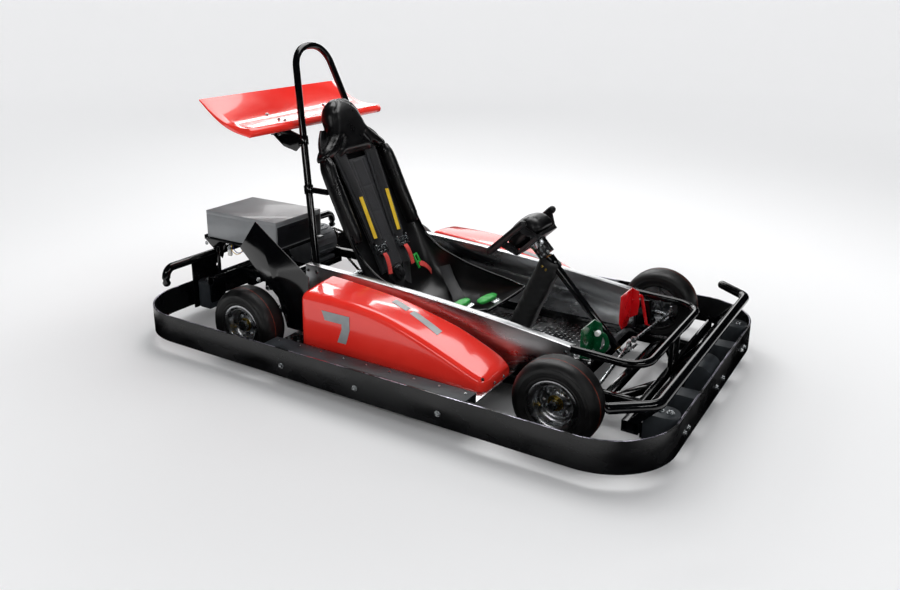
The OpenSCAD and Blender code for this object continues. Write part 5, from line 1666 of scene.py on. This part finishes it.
class KART_OT_chain(KartStep, bpy.types.Operator):
    """Roller chain laid link by link round both sprockets by geometry nodes"""

    bl_idname = "kart.chain"
    bl_label = "Drive chain"

    def loop(self):
        low, high = box_mm("drive_chain")
        y = (low.y + high.y) / 2
        axle_low, axle_high = box_mm("rear_axle")
        motor_low, motor_high = box_mm("motor_sprocket")
        a = Vector(((axle_low.x + axle_high.x) / 2, 0, (axle_low.z + axle_high.z) / 2))
        b = Vector(((motor_low.x + motor_high.x) / 2, 0, (motor_low.z + motor_high.z) / 2))
        big, small = 84 + 4.5, 25 + 4.5
        way = b - a
        turn = math.atan2(way.z, way.x)
        spread = math.acos((big - small) / way.length)
        points = []
        for centre, radius, start, sweep, n in ((a, big, spread, 2 * math.pi - 2 * spread, 60),
                                                (b, small, -spread, 2 * spread, 24)):
            for k in range(n + 1):
                q = turn + start + sweep * k / n
                points.append(Vector((centre.x + radius * math.cos(q), y, centre.z + radius * math.sin(q))) * MM)
        return points

    def build(self, kart):
        points = self.loop()
        closed = points + [points[0]]
        length = sum((q - p).length for p, q in zip(closed, closed[1:]))
        count = 2 * round(length / kart.chain_pitch / 2)
        lengths, total = [0.0], 0.0
        for p, q in zip(closed, closed[1:]):
            total += (q - p).length
            lengths.append(total)
        places, headings = [], []
        for k in range(count):
            d = total * k / count
            i = max(0, min(len(closed) - 2, int(np.searchsorted(lengths, d, side="right")) - 1))
            p, q = closed[i], closed[i + 1]
            places.append(p.lerp(q, (d - lengths[i]) / max(lengths[i + 1] - lengths[i], 1e-9)))
            headings.append(tuple((q - p).normalized()))
        grown("drive_chain_links", self.tree(), {"Pitch": total / count, "Finish": finish_of(oiled_steel)},
              CHASSIS, places, {"heading": headings, "odd": [float(k % 2) for k in range(count)]}, 35)
        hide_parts("drive_chain")

    def tree(self):
        tree = bpy.data.node_groups.new("roller_chain", "GeometryNodeTree")
        face = tree.interface
        face.new_socket("Geometry", in_out="INPUT", socket_type="NodeSocketGeometry")
        face.new_socket("Pitch", in_out="INPUT", socket_type="NodeSocketFloat")
        face.new_socket("Finish", in_out="INPUT", socket_type="NodeSocketMaterial")
        face.new_socket("Geometry", in_out="OUTPUT", socket_type="NodeSocketGeometry")
        given = add(tree, "NodeGroupInput").outputs
        heading = add(tree, "GeometryNodeInputNamedAttribute", {"data_type": "FLOAT_VECTOR"}, {"Name": "heading"})
        odd = add(tree, "GeometryNodeInputNamedAttribute", {"data_type": "FLOAT"}, {"Name": "odd"})
        turn = add(tree, "FunctionNodeAlignRotationToVector", {"axis": "X"}, {"Vector": heading.outputs[0]})
        half = add(tree, "ShaderNodeMath", {"operation": "MULTIPLY"}, {0: given["Pitch"], 1: 0.62}).outputs[0]
        shells = []
        for gap in (3.0 * MM, 4.2 * MM):
            plates = []
            for side in (-1, 1):
                plate = add(tree, "GeometryNodeMeshCylinder",
                            feed={"Vertices": 14, "Radius": 1.0, "Depth": 1.1 * MM}).outputs["Mesh"]
                size = add(tree, "ShaderNodeCombineXYZ", feed={"X": half, "Y": 4.1 * MM, "Z": 1.0}).outputs[0]
                flat = add(tree, "GeometryNodeTransform", feed={"Geometry": plate, "Scale": size}).outputs[0]
                stood = add(tree, "GeometryNodeTransform", feed={
                    "Geometry": flat, "Rotation": (math.pi / 2, 0, 0), "Translation": (0, side * gap, 0)})
                plates.append(stood.outputs[0])
            roller = add(tree, "GeometryNodeMeshCylinder", feed={
                "Vertices": 12, "Radius": 3.2 * MM, "Depth": 2 * gap}).outputs["Mesh"]
            roller = add(tree, "GeometryNodeTransform", feed={
                "Geometry": roller, "Rotation": (math.pi / 2, 0, 0), "Translation": (6 * MM, 0, 0)}).outputs[0]
            joined = add(tree, "GeometryNodeJoinGeometry")
            for part in (roller, *plates):
                tree.links.new(part, joined.inputs[0])
            shells.append(joined.outputs[0])
        laid = []
        for shell, wanted in zip(shells, (0.0, 1.0)):
            chosen = add(tree, "FunctionNodeCompare", {"data_type": "FLOAT", "operation": "EQUAL"},
                         {0: odd.outputs[0], 1: wanted}).outputs[0]
            laid.append(add(tree, "GeometryNodeInstanceOnPoints", feed={
                "Points": given["Geometry"], "Selection": chosen, "Instance": shell,
                "Rotation": turn.outputs[0]}).outputs[0])
        both = add(tree, "GeometryNodeJoinGeometry")
        for part in laid:
            tree.links.new(part, both.inputs[0])
        real = add(tree, "GeometryNodeRealizeInstances", feed={"Geometry": both.outputs[0]})
        done = add(tree, "GeometryNodeSetMaterial", feed={"Geometry": real.outputs[0], "Material": given["Finish"]})
        out = add(tree, "NodeGroupOutput")
        tree.links.new(done.outputs[0], out.inputs[0])
        return tree


class KART_OT_bolts(KartStep, bpy.types.Operator):
    """Bolts, rivets and their washers, set on the surfaces by geometry nodes"""

    bl_idname = "kart.bolts"
    bl_label = "Bolts and rivets"

    def rows(self):
        """Each bolt: place, the way it faces, and its head's size in bolt heads."""
        band_low, band_high = box_mm("bumper_band")
        bolts = [((band_high.x, y, 80), (1, 0, 0), 1.5) for y in (-325, -14, 66, 361, -361, 325)]
        bolts += [((band_low.x, y, 90), (-1, 0, 0), 1.5) for y in (-295, -265, 265, 295)]
        for x in (-250, 60, 370):
            bolts += [((x, side * band_high.y, 80), (0, side, 0), 1.4) for side in (-1, 1)]
        wing = ((-611, 0.13), (-640, 0.25), (-700, 0.5))
        for x, u in wing:
            z = 820 + 88 * u - 30 * math.sin(math.pi * u)
            slope = (math.sin(math.atan((88 - 30 * math.pi * math.cos(math.pi * u)) / 240)), 0, 1)
            bolts += [((x, y, z), slope, 1.1) for y in (-171, 171)]
        bolts += [((x, 168.2, 765), (0, 1, 0), 1.0) for x in (-640, -675)]
        bolts += [((x, -174, 765), (0, -1, 0), 1.1) for x in (-640, -675)]
        guard_low = box_mm("wheel_guard")[0]
        bolts += [((x, guard_low.y, z), (0, -1, 0), 1.3) for x, z in ((-522, 277), (-479, 254))]
        bolts += [((-917, side * 327, 165), (0, 0, 1), 2.2) for side in (-1, 1)]
        bolts += [((x, side * 400, 150), (0, 0, 1), 1.6) for x in (960, 990) for side in (-1, 1)]
        tray_low = box_mm("box_tray")[0]
        bolts += [((-778, tray_low.y, 327), (0, -1, 0), 1.4), ((-905, tray_low.y, 327), (0, -1, 0), 1.1)]
        for x in (-400, -360, 630):
            top = 304 - 0.066 * x - 5.405e-5 * x * x
            bolts += [((x, side * 316, z), (0, side, 0), 0.9) for z in (top - 22, 118) for side in (-1, 1)]
        bolts += [((x, side * 286, z), (0, -side, 0), 0.9) for x in (618, 636) for z in (118, 150) for side in (-1, 1)]
        bolts += [((-372, side * 206, 577), (0.4, -side, 0), 0.9) for side in (-1, 1)]
        return bolts

    def rivets(self):
        """Flat rivets on the nose of each pod and along the edge strips."""
        rows = []
        for side in (-1, 1):
            rows += [((440, side * 500, 150), (0.5, side, 0.3), 0.8), ((457, side * 452, 124), (1, 0, 0), 0.8),
                     ((457, side * 392, 122), (1, 0, 0), 0.8)]
            rows += [((x, side * 596, 142), (0, 0, 1), 0.6) for x in range(-300, 440, 92)]
        return rows

    def build(self, kart):
        tree = self.tree()
        for name, rows, slot in (("chassis_bolts", self.rows(), "zinc_steel"), ("pod_rivets", self.rivets(),
                                                                                "zinc_steel")):
            values = {"Head": kart.bolt_head, "Finish": finish_of(bright_zinc)}
            grown(name, tree, values, CHASSIS, [Vector(p) * MM for p, facing, size in rows],
                  {"facing": [tuple(Vector(f).normalized()) for p, f, size in rows],
                   "size": [float(size) for p, f, size in rows]}, 35)

    def tree(self):
        tree = bpy.data.node_groups.new("bolt_heads", "GeometryNodeTree")
        face = tree.interface
        face.new_socket("Geometry", in_out="INPUT", socket_type="NodeSocketGeometry")
        face.new_socket("Head", in_out="INPUT", socket_type="NodeSocketFloat")
        face.new_socket("Finish", in_out="INPUT", socket_type="NodeSocketMaterial")
        face.new_socket("Geometry", in_out="OUTPUT", socket_type="NodeSocketGeometry")
        given = add(tree, "NodeGroupInput").outputs
        facing = add(tree, "GeometryNodeInputNamedAttribute", {"data_type": "FLOAT_VECTOR"}, {"Name": "facing"})
        size = add(tree, "GeometryNodeInputNamedAttribute", {"data_type": "FLOAT"}, {"Name": "size"})
        turn = add(tree, "FunctionNodeAlignRotationToVector", {"axis": "Z"}, {"Vector": facing.outputs[0]})
        joined = add(tree, "GeometryNodeJoinGeometry")
        # washer, flat-topped round head, then the socket ring: base radius, top radius, height, all in head widths
        for low_r, high_r, height, base, sides in ((0.72, 0.7, 0.14, 0.0, 24), (0.5, 0.47, 0.34, 0.12, 24),
                                                   (0.3, 0.27, 0.1, 0.44, 6)):
            cone = add(tree, "GeometryNodeMeshCone", feed={
                "Vertices": sides, "Radius Bottom": low_r, "Radius Top": high_r, "Depth": height}).outputs["Mesh"]
            put = add(tree, "GeometryNodeTransform", feed={"Geometry": cone, "Translation": (0, 0, base)}).outputs[0]
            tree.links.new(put, joined.inputs[0])
        scale = add(tree, "ShaderNodeMath", {"operation": "MULTIPLY"}, {0: given["Head"], 1: size.outputs[0]})
        laid = add(tree, "GeometryNodeInstanceOnPoints", feed={
            "Points": given["Geometry"], "Instance": joined.outputs[0], "Rotation": turn.outputs[0],
            "Scale": scale.outputs[0]})
        real = add(tree, "GeometryNodeRealizeInstances", feed={"Geometry": laid.outputs[0]})
        done = add(tree, "GeometryNodeSetMaterial", feed={"Geometry": real.outputs[0], "Material": given["Finish"]})
        out = add(tree, "NodeGroupOutput")
        tree.links.new(done.outputs[0], out.inputs[0])
        return tree


# ------------------------------------------------------------------ panel and main


STEPS = [KART_OT_stage, KART_OT_metalwork, KART_OT_band, KART_OT_tubes, KART_OT_pods, KART_OT_wing, KART_OT_tread,
         KART_OT_tyres, KART_OT_rims, KART_OT_seat, KART_OT_cushions, KART_OT_harness, KART_OT_wheel, KART_OT_sleeve,
         KART_OT_pedals, KART_OT_box, KART_OT_chain, KART_OT_bolts]


class KART_PT_panel(bpy.types.Panel):
    """Kart settings and one button for each step"""

    bl_label = "Concession Go-Kart"
    bl_idname = "KART_PT_panel"
    bl_space_type = "VIEW_3D"
    bl_region_type = "UI"
    bl_category = "Kart"

    def draw(self, context):
        for key in KartSettings.__annotations__:
            self.layout.prop(context.scene.kart, key)
        for step in STEPS:
            self.layout.operator(step.bl_idname)


CLASSES = [KartSettings, *STEPS, KART_PT_panel]


def register():
    for cls in CLASSES:
        bpy.utils.register_class(cls)
    bpy.types.Scene.kart = bpy.props.PointerProperty(type=KartSettings)


def unregister():
    del bpy.types.Scene.kart
    for cls in reversed(CLASSES):
        bpy.utils.unregister_class(cls)


def main():
    register()
    for step in STEPS:
        group, name = step.bl_idname.split(".")
        getattr(getattr(bpy.ops, group), name)()
    bpy.context.view_layer.update()


if __name__ == "__main__":
    main()
